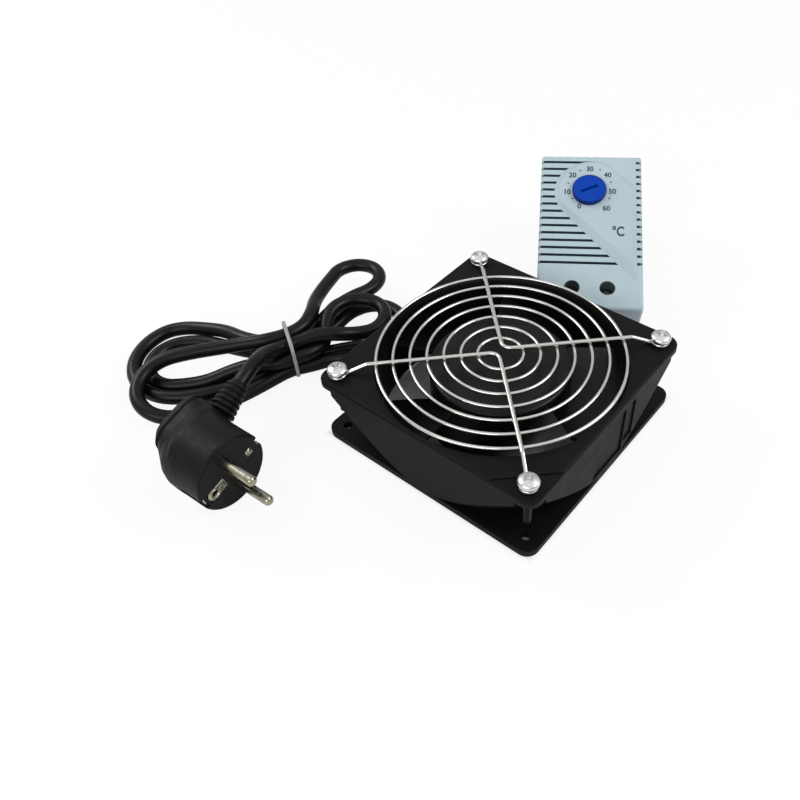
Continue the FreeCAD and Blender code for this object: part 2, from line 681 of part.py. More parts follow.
def make_plug_body():
    """Round angled plug: pins along +X, lead out of the neck along +Y. Face at x = 0."""
    barrel = Part.makeCylinder(PLUG_R, PLUG_BODY_L, Vector(-PLUG_BODY_L, 0, 0), Vector(1, 0, 0))
    barrel = barrel.makeFillet(6.0, [e for e in barrel.Edges if e.BoundBox.XMax < 1 - PLUG_BODY_L])
    barrel = barrel.makeFillet(1.2, [e for e in barrel.Edges if e.BoundBox.XMin > -0.01])
    low = Part.Wire(Part.makePolygon([Vector(x, 2, z) for x, z in
                                      ((-25, -14), (-5, -14), (-5, 14), (-25, 14), (-25, -14))]))
    high = Part.Wire(Part.makePolygon([Vector(x, PLUG_NECK_TOP, z) for x, z in
                                       ((-25, -7), (-12, -7), (-12, 7), (-25, 7), (-25, -7))]))
    shoulder = Part.makeLoft([low, high], True, True)
    shoulder = shoulder.makeFillet(2.5, [e for e in shoulder.Edges if e.BoundBox.YLength > 10])
    body = barrel.fuse(shoulder)
    for side in (-1, 1):
        pin_seat = Part.makeCylinder(PIN_R + PRESS_GAP, PIN_ROOT + 1,
                                     Vector(-PIN_ROOT, 0, side * PIN_PITCH / 2), Vector(1, 0, 0))
        body = body.cut(pin_seat)
        recess = box(-14, 1, PLUG_R - 2.2, PLUG_R + 4, -3.2, 3.2)
        body = body.cut(recess if side > 0 else moved(recess, 0, -2 * PLUG_R - 1.8, 0))
    earth_hole = Part.makeCylinder(EARTH_HOLE_R, 12, Vector(-11, -EARTH_HOLE_DROP, 0), Vector(1, 0, 0))
    plate_seat = box(-0.8, 1, -EARTH_HOLE_DROP - 5.2, -EARTH_HOLE_DROP + 5.2, -3.1, 3.1)
    return body.cut(earth_hole).cut(plate_seat)


def make_pins():
    pins = []
    for side in (-1, 1):
        pin = Part.makeCylinder(PIN_R, PIN_LENGTH + PIN_ROOT - 0.1,
                                Vector(-PIN_ROOT + 0.1, 0, side * PIN_PITCH / 2), Vector(1, 0, 0))
        pins.append(pin.makeFillet(1.6, [e for e in pin.Edges if e.BoundBox.XMin > PIN_LENGTH - 0.1]))
    return group(pins)


def make_earth_contacts():
    """Sprung side contact, and the plate round the earth hole in the face."""
    side_strip = box(-13.5, -0.5, PLUG_R - 2.1, PLUG_R - 1.3, -2.4, 2.4)
    plate = box(-0.7, 0.1, -EARTH_HOLE_DROP - 5, -EARTH_HOLE_DROP + 5, -2.9, 2.9)
    hole = Part.makeCylinder(EARTH_HOLE_R, 4, Vector(-2, -EARTH_HOLE_DROP, 0), Vector(1, 0, 0))
    lower_strip = box(-13.5, -0.5, -PLUG_R + 1.3, -PLUG_R + 2.1, -2.4, 2.4)
    return group([side_strip, plate.cut(hole), lower_strip])


def make_plug_relief():
    """Tapered sleeve with ribs, round the lead."""
    sleeve = Part.makeCone(RELIEF_ROOT_R - 1.2, RELIEF_TIP_R - 0.8, RELIEF_LENGTH)
    pitch = RELIEF_LENGTH / RELIEF_RIBS
    for number in range(RELIEF_RIBS):
        z = number * pitch
        share = z / RELIEF_LENGTH
        radius = RELIEF_ROOT_R + (RELIEF_TIP_R - RELIEF_ROOT_R) * share
        sleeve = sleeve.fuse(cyl(radius, z, z + pitch * 0.55))
    sleeve.rotate(Vector(0, 0, 0), Vector(1, 0, 0), -90)
    sleeve.rotate(Vector(0, 0, 0), UP, NECK_LEAN)
    return moved(sleeve, -PLUG_NECK_BACK, PLUG_NECK_TOP, 0)


plug_relief = make_plug_relief()
save("plug_body", placed(make_plug_body().cut(plug_relief), PLUG_PLACE))
save("plug_pins", placed(make_pins(), PLUG_PLACE))
save("plug_earth_contacts", placed(make_earth_contacts(), PLUG_PLACE))
save("plug_strain_relief", placed(plug_relief, PLUG_PLACE))
PLUG_EXIT = neck_point(RELIEF_LENGTH)


# ================= lead =================

def tapered_slab(wide, neck, neck_r, height):
    """Flat pad: two discs joined by their outer tangents."""
    x, y, radius = wide
    centre = Vector(x, y, 0)
    heading = math.atan2(neck.y - y, neck.x - x)
    lean = math.acos((radius - neck_r) / centre.distanceToPoint(Vector(neck.x, neck.y, 0)))
    left = Vector(math.cos(heading + lean), math.sin(heading + lean), 0)
    right = Vector(math.cos(heading - lean), math.sin(heading - lean), 0)
    foot = Vector(neck.x, neck.y, 0)
    corners = [centre + left * radius, foot + left * neck_r, foot + right * neck_r, centre + right * radius]
    middle = Part.Face(Part.makePolygon(corners + corners[:1])).extrude(Vector(0, 0, height))
    return middle.fuse(cyl(radius, 0, height, x, y)).fuse(cyl(neck_r, 0, height, neck.x, neck.y))


def waist_placed(shape):
    return moved(turned(shape, HANK_AXIS_DEG), TIE_X, TIE_Y, 0)


def waist_prism(grow, length):
    """Bundle of runs inside the tie, lying along local X."""
    half = WAIST_W / 2 + grow
    bar = box(-length / 2, length / 2, -half, half, WAIST_LOW - grow, WAIST_LOW + WAIST_H + grow)
    return bar.makeFillet(WAIST_ROUND + grow, [e for e in bar.Edges
                                               if abs(e.tangentAt(e.FirstParameter).x) > 0.9])


def along_axis(distance, z=0.0):
    turn = math.radians(HANK_AXIS_DEG)
    return Vector(TIE_X + distance * math.cos(turn), TIE_Y + distance * math.sin(turn), z)


# routes of the two stretches that lie outside the hank
TAIL_ROUTE = [CORD_EXIT, CORD_EXIT + Vector(0, -12.5, 0), Vector(-71.4, -6.2, 9.4),
              Vector(-79.0, -15.6, 8.0), Vector(-88.6, -21.2, 6.8)]
PLUG_ROUTE = [PLUG_EXIT, PLUG_EXIT + (PLUG_EXIT - neck_point(0)).normalize() * 5.6,
              Vector(-88.8, -62.0, 29.9), Vector(-92.0, -54.2, 28.3),
              Vector(-96.6, -47.8, 24.6)]
STUB_LENGTH = 15.0


def make_hank():
    hank = tapered_slab(LEFT_LOOPS, along_axis(-WAIST_LENGTH / 2), LOOPS_NECK_R, HANK_H)
    hank = hank.fuse(tapered_slab(RIGHT_LOOPS, along_axis(WAIST_LENGTH / 2), LOOPS_NECK_R, HANK_H))
    for route in (PLUG_ROUTE, TAIL_ROUTE):
        way_in = (route[-1] - route[-2]).normalize()
        hank = hank.fuse(Part.makeCylinder(CORD_R, STUB_LENGTH, route[-1], way_in))
    room = WAIST_W / 2 + 2 * TIE_T
    gap = waist_placed(box(-TIE_W, TIE_W, -room, room, -1, WAIST_LOW + WAIST_H + 2 * TIE_T))
    hank = hank.cut(gap).fuse(waist_placed(waist_prism(0, WAIST_LENGTH)))
    return hank


def make_tie():
    band = waist_prism(TIE_T, TIE_W).cut(waist_prism(PRESS_GAP, TIE_W + 2))
    head = box(-3, 3, WAIST_W / 2 + TIE_T - 0.2, WAIST_W / 2 + TIE_T + 3.6, 8, 13)
    return waist_placed(band.fuse(head))


save("cord_tail", cord_tube("cord_tail", TAIL_ROUTE))
save("cord_plug_run", cord_tube("cord_plug_run", PLUG_ROUTE))
save("cord_hank", make_hank())
save("cable_tie", make_tie())


# ================= thermostat =================

THERMO_PLACE = Placement(THERMO_AT, Rotation(UP, THERMO_TURN) * Rotation(Vector(1, 0, 0), THERMO_LEAN))
DIAL_SEAT_Z = THERMO_H + PANEL_UP
WELL_FLOOR = THERMO_H - WELL_DEPTH
RAIL_HIGH_EDGE = RAIL_LOW_EDGE + RAIL_W + RAIL_PLAY
FOOT_DEPTH = FOOT_EDGE * math.tan(math.radians(THERMO_LEAN))
BLOCK_T = FOOT_DEPTH - RAIL_SLOT_DEPTH
THERMO_MIDDLE = THERMO_W / 2


def save_thermo(name, shape):
    save(name, placed(shape, THERMO_PLACE))


def field_outline(sizes, z):
    """Outline of the raised field at height z: round about the dial, with a slanting edge below it."""
    radius, right, low, cut = sizes
    centre = Vector(PANEL_X, PANEL_Y, z)
    corner = Vector(right, low, z)
    heading = math.atan2(low - PANEL_Y, right - PANEL_X)
    slant = heading - math.acos(radius / (corner - centre).Length)
    foot = centre + Vector(math.cos(slant), math.sin(slant), 0) * radius
    top = PANEL_Y + radius
    crown = Vector(PANEL_X, top, z)
    runs = Part.makePolygon([foot, corner, Vector(right, top - cut, z), Vector(right - cut, top, z), crown])
    round_end = Part.Arc(crown, centre - Vector(radius, 0, 0), foot).toShape()
    return Part.Wire(runs.Edges + [round_end])


def raised_field():
    """Raised field with a sloping border, and a plug below it that closes the slots."""
    outlines = [field_outline(FIELD_FOOT, THERMO_H), field_outline(FIELD_TOP, DIAL_SEAT_Z)]
    slope = Part.makeLoft(outlines, True, True)
    plug = Part.Face(field_outline(FIELD_FOOT, THERMO_H - 1)).extrude(Vector(0, 0, 1))
    return plug.fuse(slope)


def make_cover():
    shell = box(0, THERMO_W, 0, THERMO_L, BASE_T, THERMO_H)
    shell = shell.makeFillet(THERMO_EDGE_R, [e for e in shell.Edges if e.BoundBox.ZMax > BASE_T + 1])
    wall = THERMO_WALL
    hollow = box(wall, THERMO_W - wall, wall, THERMO_L - wall, BASE_T - 1, THERMO_H - wall)
    shell = shell.cut(hollow)
    for x in WELL_X:
        shell = shell.fuse(cyl(WELL_R + WELL_WALL, WELL_FLOOR, THERMO_H - 0.5, x, WELL_Y))
        knockout = Part.makeCylinder(KNOCKOUT_R, KNOCKOUT_DEPTH, Vector(x, 0, KNOCKOUT_Z), Vector(0, 1, 0))
        shell = shell.cut(knockout)
    slot_low = THERMO_H - SLOT_SIDE_DEPTH
    slots = []
    for number in range(SLOT_COUNT):
        low = SLOT_FIRST + number * SLOT_PITCH - SLOT_W / 2
        for x0, x1 in ((-1, THERMO_W - SLOT_END), (THERMO_W - SHORT_SLOT_L, THERMO_W + 1)):
            slots.append(box(x0, x1, low, low + SLOT_W, slot_low, THERMO_H + 1))
    for number in range(END_SLOT_COUNT):
        left = THERMO_MIDDLE + (number - (END_SLOT_COUNT - 1) / 2) * END_SLOT_PITCH - SLOT_W / 2
        slots.append(box(left, left + SLOT_W, THERMO_L - END_SLOT_DEPTH, THERMO_L + 1,
                         slot_low, THERMO_H + 1))
    field = raised_field()
    shell = shell.cut(group(slots).cut(field)).fuse(field)
    for x in WELL_X:
        shell = shell.cut(cyl(WELL_R, WELL_FLOOR - 1, THERMO_H + 1, x, WELL_Y))
    return shell.cut(cyl(SPINDLE_R + DIAL_GAP, THERMO_H - 3, DIAL_SEAT_Z + 1, DIAL_X, DIAL_Y))


def make_base():
    """Back plate with a block behind it, which carries the rail foot, the fixed hook and the latch guide."""
    inset = LATCH_GAP
    left = FOOT_MARGIN
    right = THERMO_W - FOOT_MARGIN
    side = LATCH_W / 2 + LATCH_GAP
    top = RAIL_HIGH_EDGE + HOOK_W
    hook_z = HOOK_T - RAIL_SLOT_DEPTH
    upper = box(left, right, RAIL_HIGH_EDGE, top, -RAIL_SLOT_DEPTH, 0)
    hook = box(left, right, RAIL_HIGH_EDGE - HOOK_BITE, RAIL_HIGH_EDGE, -RAIL_SLOT_DEPTH, hook_z)
    foot = box(left, right, FOOT_EDGE, RAIL_LOW_EDGE - HOOK_BITE, -RAIL_SLOT_DEPTH, 0)
    foot = foot.cut(box(THERMO_MIDDLE - side, THERMO_MIDDLE + side, FOOT_EDGE - 1, RAIL_LOW_EDGE,
                        -NOSE_DEPTH - LATCH_GAP, 0))
    guide = box(THERMO_MIDDLE - side - GUIDE_WALL, THERMO_MIDDLE + side + GUIDE_WALL,
                GUIDE_LOW_Y, FOOT_EDGE, -GUIDE_DEPTH, 0)
    guide = guide.cut(box(THERMO_MIDDLE - side, THERMO_MIDDLE + side, GUIDE_LOW_Y - 1, FOOT_EDGE + 1,
                          -LATCH_T - 2 * LATCH_GAP, 0))
    nose_low = RAIL_LOW_EDGE - NOSE_W - LATCH_TRAVEL - 2 * LATCH_GAP
    guide = guide.cut(box(THERMO_MIDDLE - side, THERMO_MIDDLE + side, nose_low, FOOT_EDGE + 1,
                          -GUIDE_DEPTH - 1, 0))
    rail_parts = moved(upper.fuse(hook).fuse(foot).fuse(guide), 0, 0, -BLOCK_T)
    plate = box(inset, THERMO_W - inset, inset, THERMO_L - inset, 0, BASE_T - SEAT_GAP)
    plate = plate.fuse(box(left, right, GUIDE_LOW_Y, top, -BLOCK_T, 0)).fuse(rail_parts)
    return plate.cut(cyl(SPINDLE_R + DIAL_GAP, 1, BASE_T + 1, DIAL_X, DIAL_Y))


def make_latch():
    """Sprung slide that holds the lower edge of the rail."""
    left = THERMO_MIDDLE - LATCH_W / 2
    right = THERMO_MIDDLE + LATCH_W / 2
    end = RAIL_LOW_EDGE - LATCH_GAP
    slide = box(left, right, LATCH_LOW_Y, end, -LATCH_T - LATCH_GAP, -LATCH_GAP)
    drop = box(left, right, end - NOSE_W, end, -NOSE_DEPTH, -LATCH_GAP)
    lip = box(left, right, end - 0.1, RAIL_LOW_EDGE + HOOK_BITE, -NOSE_DEPTH, NOSE_LIP - NOSE_DEPTH)
    pull = box(left, right, LATCH_LOW_Y - PULL_LENGTH, LATCH_LOW_Y + 0.1, -PULL_DEPTH, -LATCH_GAP)
    pull_slot = box(THERMO_MIDDLE - 3, THERMO_MIDDLE + 3, LATCH_LOW_Y - 4.4, LATCH_LOW_Y - 2.4,
                    -PULL_DEPTH - 1, 0)
    return moved(slide.fuse(drop).fuse(lip).fuse(pull.cut(pull_slot)), 0, 0, -BLOCK_T)


def make_dial():
    top = DIAL_SEAT_Z + DIAL_UP
    knob = cyl(DIAL_R, DIAL_SEAT_Z + DIAL_GAP, top)
    knob = knob.makeFillet(0.6, edges_at(knob, top))
    slot = box(-DIAL_SLOT_L / 2, DIAL_SLOT_L / 2, -DIAL_SLOT_W / 2, DIAL_SLOT_W / 2,
               top - DIAL_SLOT_DEPTH, top + 1)
    return moved(knob.cut(turned(slot, DIAL_SLOT_TURN)), DIAL_X, DIAL_Y, 0)


def make_spindle():
    """Dial shaft with the cam that loads the bimetal strip."""
    bar = cyl(SPINDLE_R, BASE_T - 1, DIAL_SEAT_Z + DIAL_GAP)
    lobe = cyl(CAM_R - CAM_THROW, CAM_Z, CAM_Z + CAM_T, CAM_THROW, 0)
    return moved(bar.fuse(cyl(CAM_R - CAM_THROW, CAM_Z, CAM_Z + CAM_T)).fuse(lobe), DIAL_X, DIAL_Y, 0)


def make_clamp_screw(x):
    """Slotted terminal screw under its well."""
    top = WELL_FLOOR - SEAT_GAP
    head = cyl(CLAMP_SCREW_R, top - CLAMP_SCREW_H, top, x, WELL_Y)
    return head.cut(box(x - 4, x + 4, WELL_Y - 0.5, WELL_Y + 0.5, top - CLAMP_SCREW_H / 2, top + 1))


def make_clamp(x):
    return box(x - CLAMP_HALF, x + CLAMP_HALF, WELL_Y - CLAMP_HALF, WELL_Y + CLAMP_HALF,
               clamp_top - CLAMP_T, clamp_top)


clamp_top = WELL_FLOOR - SEAT_GAP - CLAMP_SCREW_H
bed_edge = THERMO_WALL + LATCH_GAP
cam_reach = DIAL_Y - CAM_R
post_low = BED_TOP_Y + 1
post_high = post_low + POST_LENGTH
save_thermo("thermostat_cover", make_cover())
save_thermo("thermostat_base", make_base())
save_thermo("rail_latch", make_latch())
save_thermo("dial", make_dial())
save_thermo("dial_spindle", make_spindle())
save_thermo("terminal_bed", box(bed_edge, THERMO_W - bed_edge, bed_edge, BED_TOP_Y,
                                BASE_T, clamp_top - CLAMP_T))
save_thermo("terminal_clamps", group([make_clamp(x) for x in WELL_X]))
save_thermo("clamp_screws", group([make_clamp_screw(x) for x in WELL_X]))
save_thermo("bimetal_post", box(6, 14, post_low, post_high, BASE_T, CONTACT_HIGH))
save_thermo("bimetal_strip", box(14, 14 + STRIP_T, post_low + 0.5, cam_reach + 4,
                                 CONTACT_LOW - 1, CONTACT_HIGH - 1))
contact_foot = box(36, 40, post_low, post_high, BASE_T, CONTACT_HIGH - 2)
contact_leaf = box(35.2, 36.1, post_low, cam_reach, CONTACT_LOW, CONTACT_HIGH - 2)
save_thermo("contact_arm", contact_foot.fuse(contact_leaf))
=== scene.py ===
import bpy
import math
import numpy as np
from mathutils import Matrix, Quaternion, Vector


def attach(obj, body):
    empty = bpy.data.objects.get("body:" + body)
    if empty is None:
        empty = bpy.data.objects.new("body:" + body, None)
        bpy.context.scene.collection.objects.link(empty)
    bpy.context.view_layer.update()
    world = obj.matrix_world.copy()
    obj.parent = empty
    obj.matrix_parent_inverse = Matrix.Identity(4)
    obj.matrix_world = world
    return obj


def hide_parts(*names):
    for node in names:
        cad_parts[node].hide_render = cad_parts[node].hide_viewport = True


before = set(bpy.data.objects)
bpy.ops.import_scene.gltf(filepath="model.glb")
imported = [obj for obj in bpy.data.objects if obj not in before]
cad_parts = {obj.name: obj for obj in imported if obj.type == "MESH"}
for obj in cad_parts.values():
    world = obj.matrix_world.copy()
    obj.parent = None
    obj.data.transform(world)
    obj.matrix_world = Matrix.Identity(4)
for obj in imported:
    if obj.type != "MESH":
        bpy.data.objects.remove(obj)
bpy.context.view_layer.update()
scene = bpy.context.scene


CAMERA_AZIMUTH = math.radians(41.42)
CAMERA_ELEVATION = math.radians(45.94)
CAMERA_DISTANCE = 0.36915
CAMERA_TARGET = Vector((-0.01331, -0.02139, 0.020))
CAMERA_ROLL = math.radians(-3.29)

camera_data = bpy.data.cameras.new("camera")
camera_data.sensor_width = 36
camera_data.lens = 35.56
camera_data.shift_x = -0.0625
camera_data.clip_start = 0.01
camera = bpy.data.objects.new("camera", camera_data)
scene.collection.objects.link(camera)
scene.camera = camera
camera_back = Vector((
    math.sin(CAMERA_AZIMUTH) * math.cos(CAMERA_ELEVATION),
    -math.cos(CAMERA_AZIMUTH) * math.cos(CAMERA_ELEVATION),
    math.sin(CAMERA_ELEVATION),
))
camera.location = CAMERA_TARGET + camera_back * CAMERA_DISTANCE
camera.rotation_mode = "QUATERNION"
level = (-camera_back).to_track_quat("-Z", "Y")
camera.rotation_quaternion = level @ Quaternion((0, 0, 1), CAMERA_ROLL)


# ---- cord ----
# The round black mains lead, from the fan's connector through the turns of the hank and on
# to the plug. One open curve: its route to and from the hank is given in metres, and the
# turns as (along, across, up) in millimetres from the tie, where strands rest on each other.

CORD_D = 0.0074
TIE_MIDDLE = np.array([-0.108, -0.0365, 0.0])
HANK_AXIS = math.radians(58.7)
ALONG = np.array([math.cos(HANK_AXIS), math.sin(HANK_AXIS), 0.0])
ACROSS = np.array([-math.sin(HANK_AXIS), math.cos(HANK_AXIS), 0.0])
CORD_EXIT = (-0.06725, 0.0185, 0.0105)

from_fan = [
    CORD_EXIT,
    (-0.0673, 0.0120, 0.0105),
    (-0.0674, 0.0040, 0.0103),
    (-0.0711, -0.0062, 0.0095),
    (-0.0787, -0.0156, 0.0075),
    (-0.0898, -0.0227, 0.0054),
]


def bend(middle, half, start, sweep, low, high, count=6):
    """Points of one loose end of the hank, in millimetres: the middle plus (half length x cosine,
    half width x sine), while the angle goes evenly from start through sweep in degrees and the
    height goes evenly from low to high."""
    turn = np.radians(start + sweep * np.linspace(0, 1, count))
    return np.stack([middle[0] + half[0] * np.cos(turn), middle[1] + half[1] * np.sin(turn),
                     np.linspace(low, high, count)], axis=1)


# The runs between the loop ends weren't chosen by hand. A scratch program spread the strands
# apart, to keep them out of each other, and its result was rounded to half a millimetre. The
# loop ends are arcs drawn close to that result, and the routes above and below come from it too.
turns = [
    # left: out low along the front, and back on top
    [(8.5, -8.5, 5), (-3.5, -7.5, 5), (-17.5, -12.5, 4.5), (-33.5, -17, 3.8), (-49.5, -18.5, 3.8)],
    bend((-62.5, -2.5), (17.5, 17), -94, -173, 3.8, 14.5),
    [(-49.5, 13.5, 15), (-35.5, 11.5, 15), (-23.5, 8.5, 16), (-12, 3.5, 18.5), (0.5, 3.5, 18.5)],
    # right: on top and far out to the back, then back underneath
    [(10, 7.5, 18.5), (16, 16, 19), (19.5, 27.5, 16.5), (25.5, 37.5, 15)],
    bend((47, 44.5), (14.5, 13), 165, -232, 13.5, 11.5),
    [(40.5, 29, 12.5), (29, 25, 11), (19.5, 17, 10.5), (6.5, 9.5, 12), (-3, 7, 12.5)],
    # left: the widest loop
    [(-11.5, 9, 12.5), (-22, 17.5, 12), (-29.5, 31, 9), (-42, 41.5, 6.5), (-51, 47, 5.5)],
    bend((-53.5, 21.5), (27.5, 28), 105, 153, 5, 3.8, count=8),
    [(-46.5, -8, 3.8), (-33.5, -8, 3.8), (-20.5, -6, 3.8), (-9, -1, 5.5), (0, -0.5, 8)],
    # right: low beside the fan
    [(9, -1, 5.5), (20, -1, 3.8), (31, -2, 3.8), (40, -4.5, 3.8)],
    bend((46.5, 11.5), (17, 16.5), -83, 167, 3.8, 5),
    [(37, 26, 4.5), (27.5, 18, 4.5), (16.5, 11.5, 3.8), (8.5, 6.5, 5), (0, 6, 5)],
    # left: inside the widest loop
    [(-11, 9, 5), (-21, 16, 3.8), (-32, 25, 3.8), (-42.5, 33.5, 3.8)],
    bend((-56, 20), (17.5, 17.5), 89, 180, 3.8, 3.8),
    [(-44.5, -0.5, 5), (-32.5, -1.5, 8.5), (-21.5, -4, 11.5), (-11, -8.5, 12), (-1, -8.5, 12.5)],
    # right: inside the low loop, and over the top to the plug
    [(9.5, -8, 13), (18, -1.5, 11), (22, 12, 15.5)],
    bend((38.5, 8), (15.5, 14), 129, -196, 17, 14),
    [(34.5, -4.5, 14.5), (25, -5, 18), (14.5, -2.5, 19.5), (5.5, -2.5, 17.5), (-2.5, -4, 18)],
]
to_plug = [
    (-0.1063, -0.0477, 0.0200),
    (-0.1049, -0.0555, 0.0239),
    (-0.0994, -0.0640, 0.0280),
    (-0.0958, -0.0726, 0.0288),
    (-0.0945, -0.0780, 0.0275),
]
cord_points = [Vector(point) for point in from_fan]
for turn in turns:
    for along, across, up in turn:
        place = TIE_MIDDLE + (ALONG * along + ACROSS * across) / 1000
        cord_points.append(Vector((place[0], place[1], up / 1000)))
cord_points += [Vector(point) for point in to_plug]

cord_data = bpy.data.curves.new("lead", "CURVE")
cord_data.dimensions = "3D"
cord_data.bevel_depth = 1.0       # times the radius of each point, which is half of CORD_D
cord_data.bevel_resolution = 7
cord_data.resolution_u = 10
cord_data.render_resolution_u = 10
spline = cord_data.splines.new("NURBS")
spline.points.add(len(cord_points) - 1)
spline.points.foreach_set("co", np.array([[*point, 1.0] for point in cord_points]).ravel())
spline.points.foreach_set("radius", np.full(len(cord_points), CORD_D / 2))
spline.order_u = 3
spline.use_endpoint_u = True
lead = bpy.data.objects.new("lead", cord_data)
scene.collection.objects.link(lead)
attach(lead, "root")
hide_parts("cord_tail", "cord_hank", "cord_plug_run")


# ---- floor and light ----
# A pale floor and soft lamps in a pale room. The camera sees the floor fade to plain
# white away from the fan, and polished pieces see a room that is darker towards the floor.

def add_node(tree, kind, inputs=None, **settings):
    """New node. Its settings are its own properties. Each input, by name or number, gets a
    value, or a link where a socket is given."""
    node = tree.nodes.new(kind)
    for name, value in settings.items():
        setattr(node, name, value)
    for name, value in (inputs or {}).items():
        if isinstance(value, bpy.types.NodeSocket):
            tree.links.new(value, node.inputs[name])
        else:
            node.inputs[name].default_value = value
    return node


FAN_HALF = 0.060
FLOOR_HALF = 4.0
PLAIN_WHITE = (1, 1, 1, 1)

corners = [(x * FLOOR_HALF, y * FLOOR_HALF, 0) for x, y in ((-1, -1), (1, -1), (1, 1), (-1, 1))]
floor_mesh = bpy.data.meshes.new("floor")
floor_mesh.from_pydata(corners, [], [(0, 1, 2, 3)])
floor = bpy.data.objects.new("floor", floor_mesh)
scene.collection.objects.link(floor)

# White paper: matt, and seen as plain white where the fan doesn't stand over it.
paper = bpy.data.materials.new("white paper")
paper.use_nodes = True
tree = paper.node_tree
tree.nodes.clear()
place = add_node(tree, "ShaderNodeTexCoord")
split = add_node(tree, "ShaderNodeSeparateXYZ", {0: place.outputs["Object"]})
wide = add_node(tree, "ShaderNodeMath", {0: split.outputs["X"]}, operation="ABSOLUTE")
deep = add_node(tree, "ShaderNodeMath", {0: split.outputs["Y"]}, operation="ABSOLUTE")
reach = add_node(tree, "ShaderNodeMath", {0: wide.outputs[0], 1: deep.outputs[0]}, operation="MAXIMUM")
fade = add_node(tree, "ShaderNodeMapRange", {
    "Value": reach.outputs[0],
    "From Min": FAN_HALF - 0.004,
    "From Max": FAN_HALF + 0.002,
    "To Max": 0.9,
}, interpolation_type="SMOOTHSTEP")
path = add_node(tree, "ShaderNodeLightPath")
share = add_node(tree, "ShaderNodeMath", {0: path.outputs["Is Camera Ray"], 1: fade.outputs[0]},
                 operation="MULTIPLY")
matt = add_node(tree, "ShaderNodeBsdfDiffuse", {"Color": (0.8, 0.8, 0.8, 1)})
glow = add_node(tree, "ShaderNodeEmission", {"Color": PLAIN_WHITE, "Strength": 1.0})
mix = add_node(tree, "ShaderNodeMixShader", {0: share.outputs[0], 1: matt.outputs[0], 2: glow.outputs[0]})
add_node(tree, "ShaderNodeOutputMaterial", {"Surface": mix.outputs[0]})
floor_mesh.materials.append(paper)

world = bpy.data.worlds.new("studio")
scene.world = world
world.use_nodes = True
tree = world.node_tree
tree.nodes.clear()
place = add_node(tree, "ShaderNodeTexCoord")
split = add_node(tree, "ShaderNodeSeparateXYZ", {0: place.outputs["Generated"]})
height = add_node(tree, "ShaderNodeMapRange", {
    "Value": split.outputs["Z"],
    "From Min": 0.05,
    "From Max": 0.95,
    "To Min": 0.35,
    "To Max": 0.95,
})
path = add_node(tree, "ShaderNodeLightPath")
backdrop = add_node(tree, "ShaderNodeBackground", {"Color": PLAIN_WHITE, "Strength": 1.0})
room = add_node(tree, "ShaderNodeBackground", {"Color": PLAIN_WHITE, "Strength": 0.62})
mirrored = add_node(tree, "ShaderNodeBackground", {"Color": PLAIN_WHITE, "Strength": height.outputs[0]})
polished = add_node(tree, "ShaderNodeMixShader", {
    0: path.outputs["Is Glossy Ray"], 1: room.outputs[0], 2: mirrored.outputs[0]})
seen = add_node(tree, "ShaderNodeMixShader", {
    0: path.outputs["Is Camera Ray"], 1: polished.outputs[0], 2: backdrop.outputs[0]})
add_node(tree, "ShaderNodeOutputWorld", {"Surface": seen.outputs[0]})

KIT_MIDDLE = Vector((-0.05, 0, 0.02))
# where each lamp stands, its sides, and its watts
LAMPS = {
    "lamp right": ((0.75, 0.45, 0.80), (0.7, 0.5), 6.5),
    "lamp left": ((-0.95, -0.15, 0.75), (0.5, 0.5), 5.0),
    "lamp front": ((0.15, -0.95, 0.60), (0.9, 0.3), 4.0),
}
for name, (spot, size, watts) in LAMPS.items():
    lamp_data = bpy.data.lights.new(name, "AREA")
    lamp_data.shape = "RECTANGLE"
    lamp_data.size, lamp_data.size_y = size
    lamp_data.energy = watts
    lamp = bpy.data.objects.new(name, lamp_data)
    scene.collection.objects.link(lamp)
    lamp.location = spot
    lamp.rotation_mode = "QUATERNION"
    lamp.rotation_quaternion = (KIT_MIDDLE - Vector(spot)).to_track_quat("-Z", "Y")
scene.view_settings.view_transform = "Standard"


# ---- black painted casting ----
# The frame and motor plate are one die casting, and the bearing cap is pressed in. They are
# painted matt black: a thin film with a fine orange peel, a little uneven in its sheen.

def linear(code):
    """sRGB hex to linear RGBA: each channel under 0.04045 is divided by 12.92, and the others
    are raised to 2.4 after adding 0.055 and dividing by 1.055."""
    parts = [int(code[i:i + 2], 16) / 255 for i in (0, 2, 4)]
    return (*[c / 12.92 if c <= 0.04045 else ((c + 0.055) / 1.055) ** 2.4 for c in parts], 1.0)


def start_finish(name, code, roughness, metallic=0.0, sheen=0.5):
    """New material of one colour. Returns it with its node tree, its shader and its coordinates.
    The sheen is the shader's specular level."""
    material = bpy.data.materials.new(name)
    material.use_nodes = True
    tree = material.node_tree
    shader = tree.nodes["Principled BSDF"]
    shader.inputs["Base Color"].default_value = linear(code)
    shader.inputs["Roughness"].default_value = roughness
    shader.inputs["Metallic"].default_value = metallic
    shader.inputs["Specular IOR Level"].default_value = sheen
    place = add_node(tree, "ShaderNodeTexCoord")
    return material, tree, shader, place.outputs["Object"]


def vary_gloss(tree, shader, where, size, low, high):
    """Spreads the roughness from low to high over spots of the given size in metres."""
    noise = add_node(tree, "ShaderNodeTexNoise", {"Vector": where, "Scale": 1 / size, "Detail": 3.0})
    spread = add_node(tree, "ShaderNodeMapRange", {
        "Value": noise.outputs["Fac"], "From Min": 0.3, "From Max": 0.7, "To Min": low, "To Max": high})
    tree.links.new(spread.outputs[0], shader.inputs["Roughness"])


